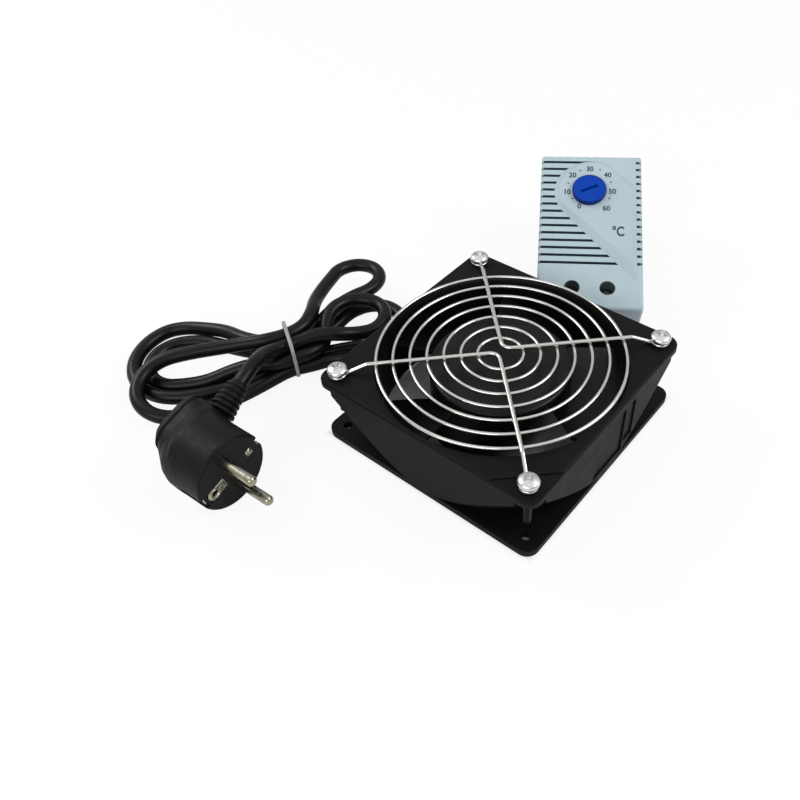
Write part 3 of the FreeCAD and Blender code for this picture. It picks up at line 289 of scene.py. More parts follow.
def vary_colour(tree, shader, where, size, first, second):
    """Blends the base colour from first to second over spots of the given size in metres."""
    noise = add_node(tree, "ShaderNodeTexNoise", {"Vector": where, "Scale": 1 / size, "Detail": 4.0})
    ramp = add_node(tree, "ShaderNodeMapRange", {
        "Value": noise.outputs["Fac"], "From Min": 0.35, "From Max": 0.65})
    blend = add_node(tree, "ShaderNodeMix", {
        "Factor": ramp.outputs[0], "A": linear(first), "B": linear(second)}, data_type="RGBA")
    tree.links.new(blend.outputs["Result"], shader.inputs["Base Color"])
    return blend.outputs["Result"]


def add_grain(tree, shader, where, size, depth, strength=0.5, over=None):
    """Bumps of the given size and depth in metres, on top of the bumps of over where it is given."""
    noise = add_node(tree, "ShaderNodeTexNoise", {"Vector": where, "Scale": 1 / size, "Detail": 2.0})
    inputs = {"Height": noise.outputs["Fac"], "Strength": strength, "Distance": depth}
    if over:
        inputs["Normal"] = over
    bump = add_node(tree, "ShaderNodeBump", inputs)
    tree.links.new(bump.outputs["Normal"], shader.inputs["Normal"])
    return bump.outputs["Normal"]


def dress(material, *names):
    """Gives the material to the CAD nodes with these names."""
    for name in names:
        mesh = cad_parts[name].data
        mesh.materials.clear()
        mesh.materials.append(material)


# Matt paint: nearly black, with a fine orange peel that breaks up the shine.
paint, tree, shader, where = start_finish("matt black paint on casting", "090909", 0.5, sheen=0.12)
vary_colour(tree, shader, where, 0.012, "080808", "0A0A0A")
vary_gloss(tree, shader, where, 0.006, 0.48, 0.55)
add_grain(tree, shader, where, 0.0011, 0.00004, strength=0.35)
dress(paint, "fan_frame", "back_flange", "motor_spider", "bearing_cap")


# ---- impeller ----
# Five steel blades welded to a pressed hub, painted black and smoother than the casting.
# The paint is semi-gloss, so the blades show soft bands of light.

# Semi-gloss paint: wide soft bands of light on the curved blades.
blade_paint, tree, shader, where = start_finish("semi-gloss black paint on steel", "0B0B0B", 0.38, sheen=0.22)
vary_colour(tree, shader, where, 0.02, "0A0A0A", "0D0D0C")
vary_gloss(tree, shader, where, 0.008, 0.34, 0.44)
add_grain(tree, shader, where, 0.0025, 0.00003, strength=0.25)
dress(blade_paint, "impeller")


# ---- guard rings ----
# Seven rings of bright-plated steel wire, each closed by a butt weld, and spot-welded
# under the stays. The wire is 1.6 mm thick.

RING_WIRE_R = 0.0008
RING_Z = 0.041
RINGS = 7
INNER_RING_R = 0.0104
RING_PITCH = 0.00773
ring_radii = INNER_RING_R + RING_PITCH * np.arange(RINGS)


def grid_faces(rows, columns, close_rows, close_columns):
    """Quads of a grid of points numbered row by row; a closed way wraps round to its first line."""
    r = np.arange(rows if close_rows else rows - 1)[:, None]
    c = np.arange(columns if close_columns else columns - 1)[None, :]
    down = (r + 1) % rows
    right = (c + 1) % columns
    quads = [r * columns + c, r * columns + right, down * columns + right, down * columns + c]
    return np.stack(np.broadcast_arrays(*quads), axis=-1).reshape(-1, 4)


def make_piece(name, points, faces, material, body="root", stands_for=(), caps=()):
    """New smooth-shaded object from points in metres and faces; caps are extra flat faces."""
    mesh = bpy.data.meshes.new(name)
    mesh.from_pydata(points.tolist(), [], faces.tolist() + [list(map(int, cap)) for cap in caps])
    mesh.polygons.foreach_set("use_smooth", np.arange(len(mesh.polygons)) < len(faces))
    mesh.update()
    mesh.materials.append(material)
    piece = bpy.data.objects.new(name, mesh)
    scene.collection.objects.link(piece)
    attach(piece, body)
    if stands_for:
        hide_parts(*stands_for)
    return piece


def wire_along(path, radius, sides=14, closed=False):
    """Points of a round wire, one circle a row. At each point of the path the circle stands square
    to it: the point, plus radius times (cosine x sideways + sine x upwards)."""
    ahead = np.roll(path, -1, axis=0) - np.roll(path, 1, axis=0)
    if not closed:
        ahead[0] = path[1] - path[0]
        ahead[-1] = path[-1] - path[-2]
    ahead /= np.linalg.norm(ahead, axis=1, keepdims=True)
    sideways = np.cross([0.0, 0.0, 1.0], ahead)
    sideways /= np.linalg.norm(sideways, axis=1, keepdims=True)
    upwards = np.cross(ahead, sideways)
    turn = np.linspace(0, 2 * np.pi, sides, endpoint=False)[None, :, None]
    return path[:, None] + radius * (np.cos(turn) * sideways[:, None] + np.sin(turn) * upwards[:, None])


# Bright plating: the wire mirrors the pale room and the dark fan below it.
chrome, tree, shader, where = start_finish("bright plated wire", "D2D2CE", 0.16, metallic=1.0)
vary_gloss(tree, shader, where, 0.002, 0.10, 0.24)
add_grain(tree, shader, where, 0.0007, 0.00001, strength=0.3)

RING_STEPS = 200
RING_SIDES = 14
turn = np.linspace(0, 2 * np.pi, RING_STEPS, endpoint=False)
circle = np.stack([np.cos(turn), np.sin(turn), np.zeros(RING_STEPS)], axis=1)
ring_points = [wire_along(circle * radius + [0, 0, RING_Z], RING_WIRE_R, RING_SIDES, closed=True)
               for radius in ring_radii]
one_ring = grid_faces(RING_STEPS, RING_SIDES, True, True)
ring_faces = np.concatenate([one_ring + n * RING_STEPS * RING_SIDES for n in range(len(ring_radii))])
make_piece("ring_wires", np.concatenate(ring_points).reshape(-1, 3), ring_faces[:, ::-1], chrome,
           stands_for=["guard_rings"])


# ---- guard stays ----
# Two wires 2 mm thick, each bent once beside the middle and cranked down to an eye round
# the screw at both ends. They lie across the rings and are spot-welded to them.

STAY_WIRE_R = 0.0010
EYE_R = 0.0033
EYE_Z = 0.03855
STAY_Z = 0.0427
SCREW_AT = 0.0525
KNEE_AT = 0.0016
CRANK_FOOT = 0.0690
CRANK_TOP = 0.0596
CRANK_BEND_R = 0.002
KNEE_BEND_R = 0.005


def round_path(corners, radii, steps=12):
    """Points along straight runs joined by arcs: each corner is cut back by radius x tan(half the
    turn) both ways, and the arc is followed as a quadratic curve with the corner as its middle."""
    corners = np.asarray(corners, float)
    path = [corners[:1]]
    t = np.linspace(0, 1, steps)[:, None]
    for before, corner, after, radius in zip(corners, corners[1:], corners[2:], radii):
        back = (before - corner) / np.linalg.norm(before - corner)
        on = (after - corner) / np.linalg.norm(after - corner)
        half = (math.pi - math.acos(np.clip(back @ on, -1, 1))) / 2
        cut = radius * math.tan(half)
        start, end = corner + back * cut, corner + on * cut
        path.append((1 - t) ** 2 * start + 2 * t * (1 - t) * corner + t ** 2 * end)
    path.append(corners[-1:])
    return np.concatenate(path)


stay_points = []
stay_faces = []
stay_caps = []
count = 0
for side in (1, -1):
    middle = np.array([0.0, side * KNEE_AT])
    screw = np.array([-SCREW_AT, side * SCREW_AT])
    outward = (screw - middle) / np.linalg.norm(screw - middle)
    reach = np.linalg.norm(screw - middle) - EYE_R
    leg = [(*(middle + outward * far), z)
           for far, z in ((reach, EYE_Z), (CRANK_FOOT, EYE_Z), (CRANK_TOP, STAY_Z))]
    knee = (*middle, STAY_Z)
    other = [(-x, y, z) for x, y, z in leg[::-1]]
    bend_radii = [CRANK_BEND_R] * 2 + [KNEE_BEND_R] + [CRANK_BEND_R] * 2
    path = round_path(leg + [knee] + other, bend_radii)
    for line, closed in ((path, False),
                         (circle * EYE_R + [-SCREW_AT, side * SCREW_AT, EYE_Z], True),
                         (circle * EYE_R + [SCREW_AT, side * SCREW_AT, EYE_Z], True)):
        points = wire_along(line, STAY_WIRE_R, RING_SIDES, closed)
        faces = grid_faces(len(line), RING_SIDES, closed, True)
        stay_points.append(points.reshape(-1, 3))
        stay_faces.append(faces[:, ::-1] + count)
        if not closed:
            stay_caps.append(np.arange(RING_SIDES) + count)
            stay_caps.append(np.arange(RING_SIDES)[::-1] + count + (len(line) - 1) * RING_SIDES)
        count += points.shape[0] * points.shape[1]
make_piece("stay_wires", np.concatenate(stay_points), np.concatenate(stay_faces), chrome,
           stands_for=["guard_stays"], caps=stay_caps)


# ---- guard screws, washers and nuts ----
# Pan-head screws with a cross recess, toothed lock washers and hexagon nuts, zinc plated.
# The shanks stand in the shade of the flange, and that shade is painted into their colour.

SHADE_LOW = 0.0335
SHADE_HIGH = 0.0385

# Zinc plate: bright and a little uneven, with painted shade that makes it near black below the front face.
zinc, tree, shader, where = start_finish("zinc plated steel", "DADBDC", 0.24, metallic=1.0)
vary_gloss(tree, shader, where, 0.0012, 0.18, 0.34)
add_grain(tree, shader, where, 0.0006, 0.00002, strength=0.35)
# painted shade: the base colour goes from near black below SHADE_LOW to the bright plate above SHADE_HIGH
split = add_node(tree, "ShaderNodeSeparateXYZ", {0: where})
shade = add_node(tree, "ShaderNodeMapRange", {
    "Value": split.outputs["Z"], "From Min": SHADE_LOW, "From Max": SHADE_HIGH,
}, interpolation_type="SMOOTHSTEP")
plating = add_node(tree, "ShaderNodeMix", {
    "Factor": shade.outputs[0], "A": linear("0E0E0E"), "B": linear("DADBDC")}, data_type="RGBA")
tree.links.new(plating.outputs["Result"], shader.inputs["Base Color"])
dress(zinc, "guard_screws", "lock_washers", "hex_nuts")


# ---- motor and bearings ----
# Inside the hub: sintered bronze bushes, a ground shaft with its clip and washer, a stack of
# varnished laminations with enamelled copper coils, and a cast cage in a steel cup.

SHEET_T = 0.0005
COIL_WIRE_D = 0.0004
WAVE_RADIANS = 20       # a wave texture of scale 1 runs through these in one metre

# Sintered bronze: dull and pored.
bronze, tree, shader, where = start_finish("sintered bronze", "9C7240", 0.5, metallic=1.0)
vary_colour(tree, shader, where, 0.0008, "86602F", "AC824E")
add_grain(tree, shader, where, 0.0002, 0.00003, strength=0.6)
dress(bronze, "upper_bush", "lower_bush")

# Ground steel: its gloss runs in rings round the shaft.
ground, tree, shader, where = start_finish("ground steel", "B8B8BC", 0.28, metallic=1.0)
stretch = add_node(tree, "ShaderNodeMapping", {"Vector": where, "Scale": (1.0, 1.0, 12.0)})
vary_gloss(tree, shader, stretch.outputs[0], 0.003, 0.2, 0.4)
dress(ground, "shaft", "shaft_clip", "rotor_cup", "bimetal_strip")

# Varnished sheets: dark, with the fine steps of the stack.
stack, tree, shader, where = start_finish("varnished laminations", "3A3A40", 0.5, metallic=0.5)
layers = add_node(tree, "ShaderNodeTexWave", {
    "Vector": where, "Scale": 2 * math.pi / SHEET_T / WAVE_RADIANS, "Distortion": 0.2,
}, wave_type="BANDS", bands_direction="Z")
step = add_node(tree, "ShaderNodeBump", {
    "Height": layers.outputs["Fac"], "Strength": 0.6, "Distance": 0.00008})
tree.links.new(step.outputs["Normal"], shader.inputs["Normal"])
dress(stack, "stator_core")

# Enamelled copper: reddish brown and glossy, turn on turn.
copper, tree, shader, where = start_finish("enamelled copper wire", "8A4A22", 0.3, metallic=0.8)
strands = add_node(tree, "ShaderNodeTexWave", {
    "Vector": where, "Scale": 2 * math.pi / COIL_WIRE_D / WAVE_RADIANS, "Distortion": 1.5,
}, wave_type="BANDS", bands_direction="Z")
step = add_node(tree, "ShaderNodeBump", {
    "Height": strands.outputs["Fac"], "Strength": 0.8, "Distance": 0.0001})
tree.links.new(step.outputs["Normal"], shader.inputs["Normal"])
vary_colour(tree, shader, where, 0.003, "7C3F1B", "96552B")
dress(copper, "stator_windings")

# Cast aluminium: grey with a coarse skin.
cast, tree, shader, where = start_finish("cast aluminium", "B9BABC", 0.42, metallic=1.0)
vary_gloss(tree, shader, where, 0.001, 0.34, 0.55)
add_grain(tree, shader, where, 0.0006, 0.00003, strength=0.5)
dress(cast, "rotor_cage")


# ---- supply connector and terminal ----
# The terminal block in the side of the frame, with two flat tabs, and the moulded connector
# pushed over them. Black nylon with the dull grain of its mould; the tabs are nickel plated.

# Moulded nylon: black with a satin grain.
black_nylon, tree, shader, where = start_finish("black moulded nylon", "0E0E0F", 0.46, sheen=0.3)
vary_colour(tree, shader, where, 0.004, "0C0C0D", "131314")
vary_gloss(tree, shader, where, 0.003, 0.4, 0.54)
add_grain(tree, shader, where, 0.0003, 0.00002, strength=0.4)
dress(black_nylon, "thrust_washer", "terminal_block", "fan_connector")

# Nickel on brass: mirror-like, faintly yellow where it is thin.
nickel, tree, shader, where = start_finish("nickel plated brass", "A6A294", 0.2, metallic=1.0)
vary_colour(tree, shader, where, 0.003, "9C967F", "B0AEA4")
vary_gloss(tree, shader, where, 0.0015, 0.12, 0.28)
dress(nickel, "terminal_tabs", "plug_pins", "plug_earth_contacts", "contact_arm")


# ---- sheath of the lead ----
# Soft black vinyl with a dull skin. It shows long soft highlights and the faint ripple of
# the cores laid up inside it.

# Soft vinyl: long soft highlights, rippled by the cores.
sheath, tree, shader, where = start_finish("soft black vinyl sheath", "080809", 0.36, sheen=0.2)
vary_colour(tree, shader, where, 0.009, "070708", "0A0A0B")
vary_gloss(tree, shader, where, 0.004, 0.3, 0.4)
ripple = add_grain(tree, shader, where, 0.006, 0.00015, strength=0.3)
add_grain(tree, shader, where, 0.0004, 0.00002, strength=0.3, over=ripple)
cord_data.materials.append(sheath)


# ---- plug and its strain relief ----
# Angled plug moulded round the end of the lead, in the same black vinyl but harder. The
# relief is part of the same shot: six ribs on a tapering sleeve, which lets the lead bend.

# Hard vinyl: black and dull, with the fine grain of the mould.
plug_vinyl, tree, shader, where = start_finish("black moulded vinyl", "09090A", 0.48, sheen=0.16)
vary_colour(tree, shader, where, 0.006, "080809", "0C0C0C")
vary_gloss(tree, shader, where, 0.003, 0.42, 0.56)
add_grain(tree, shader, where, 0.00025, 0.00002, strength=0.5)
dress(plug_vinyl, "plug_body")

RELIEF_END = np.array(to_plug[-1])
RELIEF_AXIS = np.array([-0.2201, 0.9459, 0.2383])
RELIEF_L = 22.0
RIB_ROOT_R = 7.6
RIB_TIP_R = 5.0
CORE_ROOT_R = 5.6
CORE_TIP_R = 4.3
RELIEF_SIDES = 48
RIBS = 6
rib_starts = np.linspace(4.9, 18.9, RIBS)
# one rib: how far along it, and its rise from the core (0) to its full height (1)
rib_shape = np.array([(0.0, 0), (0.06, 0.75), (0.3, 1.0), (1.3, 1.0), (1.54, 0.75), (1.6, 0)])
rib_x = (rib_starts[:, None] + rib_shape[None, :, 0]).ravel()
rib_rise = np.tile(rib_shape[:, 1], RIBS)
outer = RIB_ROOT_R + (RIB_TIP_R - RIB_ROOT_R) * rib_x / RELIEF_L
core = CORE_ROOT_R + (CORE_TIP_R - CORE_ROOT_R) * rib_x / RELIEF_L
radius = core + (outer - core) * rib_rise
relief_x = np.concatenate([[-0.6, 0.2], rib_x, [20.9, 22.0, 22.1, 21.6]])
relief_r = np.concatenate([[5.4, 5.3], radius, [4.35, 4.25, 4.05, 3.72]])
sideways = np.cross(RELIEF_AXIS, [0.0, 0.0, 1.0])
sideways /= np.linalg.norm(sideways)
upwards = np.cross(sideways, RELIEF_AXIS)
turn = np.linspace(0, 2 * np.pi, RELIEF_SIDES, endpoint=False)[None, :, None]
spine = RELIEF_END + RELIEF_AXIS * (relief_x - RELIEF_L)[:, None] / 1000
relief_points = spine[:, None] + relief_r[:, None, None] / 1000 * (
    np.cos(turn) * sideways + np.sin(turn) * upwards)
relief = make_piece("strain_relief", relief_points.reshape(-1, 3),
                    grid_faces(len(relief_x), RELIEF_SIDES, False, True)[:, ::-1], plug_vinyl,
                    stands_for=["plug_strain_relief"],
                    caps=[np.arange(RELIEF_SIDES)])


# ---- back of the plug ----
# The grip of the plug, of the same moulding: round behind the face, squarer and cut away
# below towards the back, with a low lip round the back wall. Its axes are the plug's own.

PLUG_ORIGIN = np.array([-0.0625, -0.1120, 0.0186])
PLUG_YAW = math.radians(2.8)
PLUG_TILT = math.radians(14)
GRIP_SIDES = 96
# each row in millimetres: how far behind the face, bottom, top, half width; then the squareness
grip_shape = np.array([
    (14.5, -18.35, 18.35, 18.35, 2.0), (14.7, -18.55, 18.55, 18.55, 2.0), (18, -18.6, 18.6, 18.4, 2.05),
    (22, -18.4, 19.2, 17.3, 2.2), (25, -17.3, 20.0, 16.0, 2.5), (29, -14.4, 20.3, 14.6, 2.8),
    (33, -11.0, 20.2, 13.8, 3.6), (34.4, -9.4, 19.8, 13.6, 4.0), (34.7, -10.2, 20.6, 14.4, 4.0),
    (37.2, -7.4, 18.6, 14.0, 4.0), (37.7, -6.6, 17.9, 13.5, 4.0), (38.0, -5.6, 17.0, 12.6, 4.0),
    (38.1, -4.4, 15.8, 11.6, 4.0)])


def leaning_axes(yaw, lean):
    """Three axes of a leaning piece: the first is level and turned by yaw, the second is square to
    it and rises by lean, and the third is their cross product."""
    level = np.array([math.cos(yaw), math.sin(yaw), 0.0])
    rising = np.array([-math.sin(yaw) * math.cos(lean), math.cos(yaw) * math.cos(lean), math.sin(lean)])
    return level, rising, np.cross(level, rising)


def superellipse(turn, square):
    """Cosine and sine of the angle, each raised to 2 / squareness with its sign kept: 2 gives a
    circle, and more gives squarer corners."""
    power = 2 / square
    return (np.sign(np.cos(turn)) * np.abs(np.cos(turn)) ** power,
            np.sign(np.sin(turn)) * np.abs(np.sin(turn)) ** power)


# the plug's own axes: out of its face, along the face towards its top, and sideways
PLUG_EX, PLUG_EY, PLUG_EZ = leaning_axes(PLUG_YAW, PLUG_TILT)
grip_x = np.unique(np.concatenate([np.linspace(14.5, 38.1, 80), grip_shape[:, 0]]))
low, high, half, square = [np.interp(grip_x, grip_shape[:, 0], column)[:, None]
                           for column in grip_shape[:, 1:].T]
up_way, side_way = superellipse(np.linspace(0, 2 * np.pi, GRIP_SIDES, endpoint=False)[None, :], square)
grip_y = (low + high) / 2 + (high - low) / 2 * up_way
grip_z = half * side_way
grip_points = (PLUG_ORIGIN - grip_x[:, None, None] / 1000 * PLUG_EX + grip_y[..., None] / 1000 * PLUG_EY
               + grip_z[..., None] / 1000 * PLUG_EZ)
back_wall = np.arange(GRIP_SIDES) + (len(grip_x) - 1) * GRIP_SIDES
grip = make_piece("plug_grip", grip_points.reshape(-1, 3), grid_faces(len(grip_x), GRIP_SIDES, False, True),
                  plug_vinyl, caps=[np.arange(GRIP_SIDES)[::-1], back_wall])


# ---- earth contacts of the plug ----
# Sheet brass, nickel plated: the plate in the face with a drawn collar round its hole, two
# sprung strips in the side recesses, and the end of the upper strip in the face.

EARTH_SIDES = 64
EARTH_HOLE_AT = -11.3
PLATE_TOP = -4.6
PLATE_HALF_W = 2.8
PLATE_ROUND_R = 3.6
turn = np.linspace(0, 2 * np.pi, EARTH_SIDES, endpoint=False)
up_way, side_way = np.cos(turn), np.sin(turn)
# from the hole's middle to the plate's outline: straight sides and top, and a round lower end
to_side = PLATE_HALF_W / np.maximum(np.abs(side_way), 1e-6)
to_top = (PLATE_TOP - EARTH_HOLE_AT) / np.maximum(up_way, 1e-6)
outline = np.minimum(to_side, np.where(up_way > 0, to_top, PLATE_ROUND_R))
# rows from the outline over the collar and down the hole: height over the face, and distance
earth_rise = np.array([-0.5, 0.12, 0.12, 0.55, 0.65, 0.55, -2.5])
collar_r = np.array([2.7, 2.55, 2.3, 2.1, 2.0])
earth_far = np.concatenate([[outline, outline], np.repeat(collar_r[:, None], EARTH_SIDES, axis=1)])
plate_y = EARTH_HOLE_AT + earth_far * up_way
plate_z = earth_far * side_way
plate = (PLUG_ORIGIN + earth_rise[:, None, None] / 1000 * PLUG_EX + plate_y[..., None] / 1000 * PLUG_EY
         + plate_z[..., None] / 1000 * PLUG_EZ)
# each strip as its two corners in the plug's own millimetres
strips = [((-13.5, 16.4, -2.4), (-0.5, 17.2, 2.4)), ((-13.5, -17.2, -2.4), (-0.5, -16.4, 2.4)),
          ((-0.3, 9.7, -0.9), (0.15, 13.1, 2.5))]
blocks = np.array([(x, y, z) for near, far in strips
                   for x in (near[0], far[0]) for y in (near[1], far[1]) for z in (near[2], far[2])])
blocks = PLUG_ORIGIN + blocks / 1000 @ np.stack([PLUG_EX, PLUG_EY, PLUG_EZ])
# the six sides of a block whose corners are numbered along its last axis first
BLOCK_FACES = np.array([(0, 1, 3, 2), (4, 6, 7, 5), (0, 4, 5, 1), (2, 3, 7, 6), (0, 2, 6, 4), (1, 5, 7, 3)])
earth_faces = np.concatenate([grid_faces(len(earth_rise), EARTH_SIDES, False, True)]
                             + [BLOCK_FACES + plate.shape[0] * EARTH_SIDES + 8 * n
                                for n in range(len(strips))])
earth = make_piece("earth_contacts", np.concatenate([plate.reshape(-1, 3), blocks]), earth_faces, nickel,
                   stands_for=["plug_earth_contacts"])


# ---- cable tie ----
# A thin tie round the middle of the hank, pulled tight through its small head. Strap and
# head are one moulding in pale grey nylon, which lets a little light in.

TIE_HALF_W = 0.0120
TIE_LOW = 0.0014
TIE_HIGH = 0.0224
TIE_ROUND = 0.005
TIE_T = 0.0011
STRAP_HALF = 0.0009
STRAP_OFF = 0.0001
HEAD_LONG = 0.0048
HEAD_DEEP = 0.0042
HEAD_TALL = 0.0052
HEAD_AT_Z = 0.0105
HEAD_OFF = 0.0006
corner_turn = np.radians(np.linspace(0, 90, 9))
corner_at = [(1, 1, 0), (-1, 1, 90), (-1, -1, 180), (1, -1, 270)]
tie_middle_z = (TIE_LOW + TIE_HIGH) / 2
tie_half_h = (TIE_HIGH - TIE_LOW) / 2
loop = np.concatenate([np.stack([
    sx * (TIE_HALF_W - TIE_ROUND) + TIE_ROUND * np.cos(corner_turn + math.radians(start)),
    sz * (tie_half_h - TIE_ROUND) + TIE_ROUND * np.sin(corner_turn + math.radians(start)),
    np.cos(corner_turn + math.radians(start)),
    np.sin(corner_turn + math.radians(start))], axis=1) for sx, sz, start in corner_at])
# the strap's section: share of its half width, and share of its thickness, with eased corners
section = np.array([(-1, 0.06), (-0.92, 0), (0.92, 0), (1, 0.06), (1, 0.85), (0.85, 1), (-0.85, 1),
                    (-1, 0.85)])
strap_out = section[None, :, 1] * TIE_T + STRAP_OFF
strap_across = (loop[:, 0:1] + loop[:, 2:3] * strap_out)[..., None] * ACROSS
strap_up = (loop[:, 1:2] + loop[:, 3:4] * strap_out + tie_middle_z)[..., None] * np.array([0, 0, 1.0])
strap_along = (section[None, :, 0] * STRAP_HALF)[..., None] * ALONG
tie_points = TIE_MIDDLE + strap_across + strap_up + strap_along

# Nylon: grey, and soft at its edges because some light goes in.
nylon, tree, shader, where = start_finish("pale grey nylon", "8E8E8C", 0.42)
shader.inputs["Subsurface Weight"].default_value = 0.15
shader.inputs["Subsurface Radius"].default_value = (0.0008, 0.0008, 0.0008)
vary_gloss(tree, shader, where, 0.002, 0.34, 0.5)
add_grain(tree, shader, where, 0.0005, 0.00005, strength=0.5)
strap = make_piece("tie_strap", tie_points.reshape(-1, 3),
                   grid_faces(len(loop), len(section), True, True), nylon,
                   stands_for=["cable_tie"])

head_across = TIE_HALF_W + HEAD_OFF
head_box = np.array([(a, c, u) for a in (-HEAD_LONG / 2, HEAD_LONG / 2) for c in (0, HEAD_DEEP)
                     for u in (-HEAD_TALL / 2, HEAD_TALL / 2)])
head_points = (TIE_MIDDLE + head_box[:, 0:1] * ALONG + (head_across + head_box[:, 1:2]) * ACROSS
               + (head_box[:, 2:3] + HEAD_AT_Z) * np.array([0, 0, 1.0]))
head = make_piece("tie_head", head_points, BLOCK_FACES, nylon)
soften = head.modifiers.new("round edges", "BEVEL")
soften.width = 0.0006
soften.segments = 3


# ---- thermostat housing ----
# Two mouldings in pale blue-grey plastic, snapped together: the slotted cover with its
# raised field, and the base with the rail foot. The inside gets almost no light, and that
# shade is painted into the colour of the plastic there.

THERMO_ORIGIN = np.array([-0.0252, 0.0664, 0.0])
THERMO_TURN = math.radians(33.4)
THERMO_LEAN = math.radians(22)
THERMO_W = 0.056
THERMO_L = 0.099
WELLS_END = 0.0200
# the room that is drawn unlit: so far in from the sides and ends, and between these heights
UNLIT_INSET = 0.0012
UNLIT_LOW = 0.0029
UNLIT_HIGH = 0.0189
# the thermostat's own axes: across the cover, along it, and out of its face
THERMO_EX, THERMO_EY, THERMO_EZ = leaning_axes(THERMO_TURN, THERMO_LEAN)


def add_within(tree, where, axis, low, high):
    """1 between low and high metres along one of the thermostat's own axes, 0 outside."""
    start = float(THERMO_ORIGIN @ axis)
    along = add_node(tree, "ShaderNodeVectorMath", {0: where, 1: tuple(axis)}, operation="DOT_PRODUCT")
    middle = add_node(tree, "ShaderNodeMath", {
        0: along.outputs["Value"], 1: start + (low + high) / 2, 2: (high - low) / 2}, operation="COMPARE")
    return middle.outputs[0]


# Moulded plastic: pale, satin, with a hardly visible grain, and painted shade inside, where the cover is
# hollow.
housing, tree, shader, where = start_finish("pale blue-grey moulded plastic", "A3B4BB", 0.46, sheen=0.35)
shell = vary_colour(tree, shader, where, 0.02, "A0B1B9", "A6B7BD")
vary_gloss(tree, shader, where, 0.004, 0.42, 0.54)
add_grain(tree, shader, where, 0.0003, 0.000015, strength=0.4)
# painted shade: inside the hollow cover the colour is a dark blue-grey, a little less dark by the wells
between_sides = add_within(tree, where, THERMO_EX, UNLIT_INSET, THERMO_W - UNLIT_INSET)
between_ends = add_within(tree, where, THERMO_EY, UNLIT_INSET, THERMO_L - UNLIT_INSET)
under_cover = add_within(tree, where, THERMO_EZ, UNLIT_LOW, UNLIT_HIGH)
by_the_wells = add_within(tree, where, THERMO_EY, 0.0, WELLS_END)
deep = add_node(tree, "ShaderNodeMath", {0: between_sides, 1: between_ends}, operation="MULTIPLY")
inside = add_node(tree, "ShaderNodeMath", {0: deep.outputs[0], 1: under_cover}, operation="MULTIPLY")
painted_inner_shade = add_node(tree, "ShaderNodeMix", {
    "Factor": by_the_wells, "A": linear("3C4E58"), "B": linear("59666B")}, data_type="RGBA")
unlit = add_node(tree, "ShaderNodeMix", {
    "Factor": inside.outputs[0], "A": shell, "B": painted_inner_shade.outputs["Result"]}, data_type="RGBA")
tree.links.new(unlit.outputs["Result"], shader.inputs["Base Color"])
dress(housing, "thermostat_cover", "thermostat_base", "rail_latch")

# a skin of the same plastic over the upper right corner of the cover, which has no slots
SKIN_UP = 0.01902
plain_corner = np.array([(30.0, 80.0), (47.5, 80.0), (47.5, 97.3), (30.0, 97.3)]) / 1000
plain_points = (THERMO_ORIGIN + plain_corner[:, 0:1] * THERMO_EX + plain_corner[:, 1:2] * THERMO_EY
                + SKIN_UP * THERMO_EZ)
make_piece("plain_corner", plain_points, np.array([(0, 1, 2, 3)]), housing)


# ---- thermostat dial ----
# A round blue knob with a screwdriver slot, moulded glossy and pushed on the cam spindle.
# A narrow ring of darker blue along its edge stands in for the shade of the rim.

DIAL_AT = THERMO_ORIGIN + 0.0267 * THERMO_EX + 0.0731 * THERMO_EY
RIM_FROM_R = 0.0086
RIM_FULL_R = 0.0089

# Glossy plastic: deep even blue with a soft shine.
blue, tree, shader, where = start_finish("glossy blue plastic", "00389A", 0.3, sheen=0.12)
knob = vary_colour(tree, shader, where, 0.004, "003696", "003A9E")
vary_gloss(tree, shader, where, 0.002, 0.24, 0.3)
off_axis = add_node(tree, "ShaderNodeVectorMath", {0: where, 1: tuple(DIAL_AT)}, operation="SUBTRACT")
across_axis = add_node(tree, "ShaderNodeVectorMath", {0: off_axis.outputs[0], 1: tuple(THERMO_EZ)},
                       operation="CROSS_PRODUCT")
from_axis = add_node(tree, "ShaderNodeVectorMath", {0: across_axis.outputs[0]}, operation="LENGTH")
rim = add_node(tree, "ShaderNodeMapRange", {
    "Value": from_axis.outputs["Value"], "From Min": RIM_FROM_R, "From Max": RIM_FULL_R})
edge = add_node(tree, "ShaderNodeMix", {"Factor": rim.outputs[0], "A": knob, "B": linear("002468")},
                data_type="RGBA")
tree.links.new(edge.outputs["Result"], shader.inputs["Base Color"])
dress(blue, "dial")


# ---- inside of the thermostat ----
# The terminal bed, the post of the snap switch and the spindle are moulded in grey nylon,
# and the clamps and their screws are zinc plated steel.

# Grey nylon: dull, with a faint grain.
pale, tree, shader, where = start_finish("grey nylon", "70767A", 0.5)
vary_colour(tree, shader, where, 0.003, "686E72", "787E82")
add_grain(tree, shader, where, 0.0004, 0.00002, strength=0.4)
dress(pale, "dial_spindle", "terminal_bed", "bimetal_post")

# Dull zinc: grey metal without a clear mirror.
old_zinc, tree, shader, where = start_finish("dull zinc plated steel", "8C8E90", 0.38, metallic=1.0)
vary_gloss(tree, shader, where, 0.001, 0.3, 0.5)
add_grain(tree, shader, where, 0.0005, 0.00002, strength=0.4)
dress(old_zinc, "clamp_screws", "terminal_clamps")


# ---- thermostat scale ----
# The numbers, dots and degree sign printed in dark grey round the dial, on the raised field.
# The ink is a thin film on the plastic.

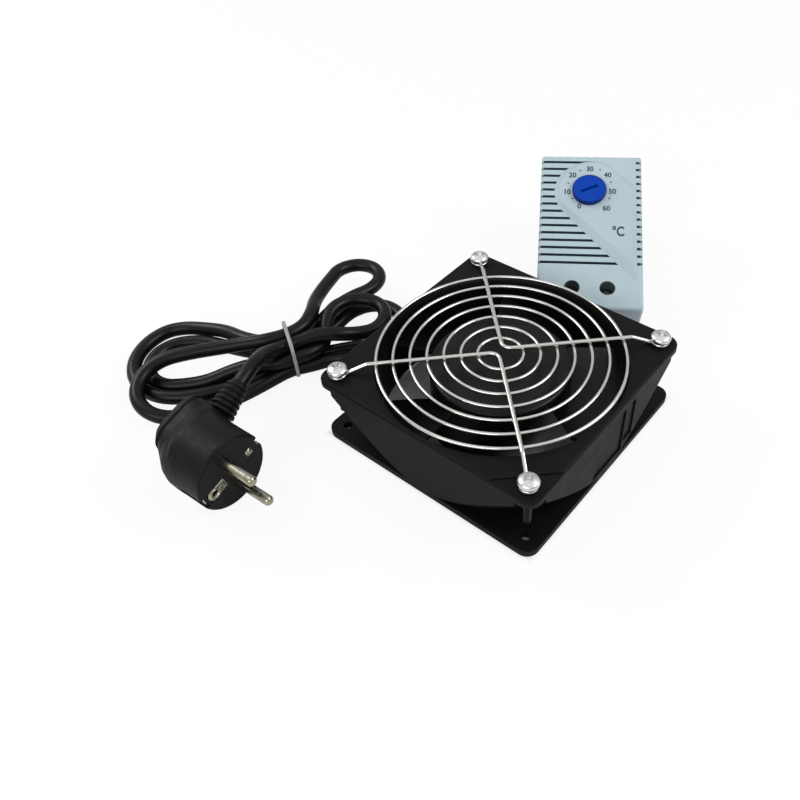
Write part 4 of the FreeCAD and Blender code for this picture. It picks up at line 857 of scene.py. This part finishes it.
# Printing ink: dark grey, matt, a little thin in places.
ink, tree, shader, where = start_finish("dark grey printing ink", "2E3A42", 0.6, sheen=0.3)
vary_colour(tree, shader, where, 0.0004, "26323A", "3C4A52")
INK_UP = 0.02104
INK_T = 0.00002
STROKE_WIDER = 0.026        # the strokes are widened by this share of the size of the type
place_rows = np.column_stack([THERMO_EX, THERMO_EY, THERMO_EZ, THERMO_ORIGIN]).tolist()
THERMO_PLACE = Matrix([*place_rows, [0, 0, 0, 1]])
# each mark, its place and size in millimetres, and how much narrower than the type it is
marks = [("0", 21.4, 62.9, 4.6, 0.9), ("10", 14.5, 72.3, 4.6, 0.9), ("20", 17.4, 83.7, 4.6, 0.9),
         ("30", 27.0, 88.1, 4.6, 0.9), ("40", 36.9, 84.1, 4.6, 0.9), ("50", 39.5, 73.1, 4.6, 0.9),
         ("60", 36.2, 61.8, 4.6, 0.9), ("°C", 42.6, 46.8, 8.4, 0.72)]
for words, x, y, size, narrow in marks:
    font = bpy.data.curves.new("words", "FONT")
    font.body = words
    font.size = size / 1000
    font.align_x = "CENTER"
    font.align_y = "CENTER"
    font.offset = size / 1000 * STROKE_WIDER
    font.extrude = INK_T
    drawn = bpy.data.objects.new("words", font)
    mesh = bpy.data.meshes.new_from_object(drawn)
    bpy.data.objects.remove(drawn)
    spot = Matrix.Translation((x / 1000, y / 1000, INK_UP))
    mesh.transform(THERMO_PLACE @ spot @ Matrix.Diagonal((narrow, 1, 1, 1)))
    mesh.materials.clear()
    mesh.materials.append(ink)
    printed = bpy.data.objects.new("printed_" + words.replace("°C", "celsius"), mesh)
    scene.collection.objects.link(printed)
    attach(printed, "root")

dot_at = np.array([(17.6, 67.9), (15.1, 78.3), (21.7, 86.9), (32.6, 87.7), (38.7, 79.5), (37.8, 68.5)]) / 1000
DOT_R = 0.0005
DOT_SIDES = 20
turn = np.linspace(0, 2 * np.pi, DOT_SIDES, endpoint=False)
dot_x = dot_at[:, 0:1] + DOT_R * np.cos(turn)
dot_y = dot_at[:, 1:2] + DOT_R * np.sin(turn)
dots = (THERMO_ORIGIN + dot_x[..., None] * THERMO_EX + dot_y[..., None] * THERMO_EY
        + (INK_UP + INK_T) * THERMO_EZ)
dot_faces = np.arange(len(dot_at) * DOT_SIDES).reshape(-1, DOT_SIDES)
make_piece("printed_dots", dots.reshape(-1, 3), dot_faces, ink)
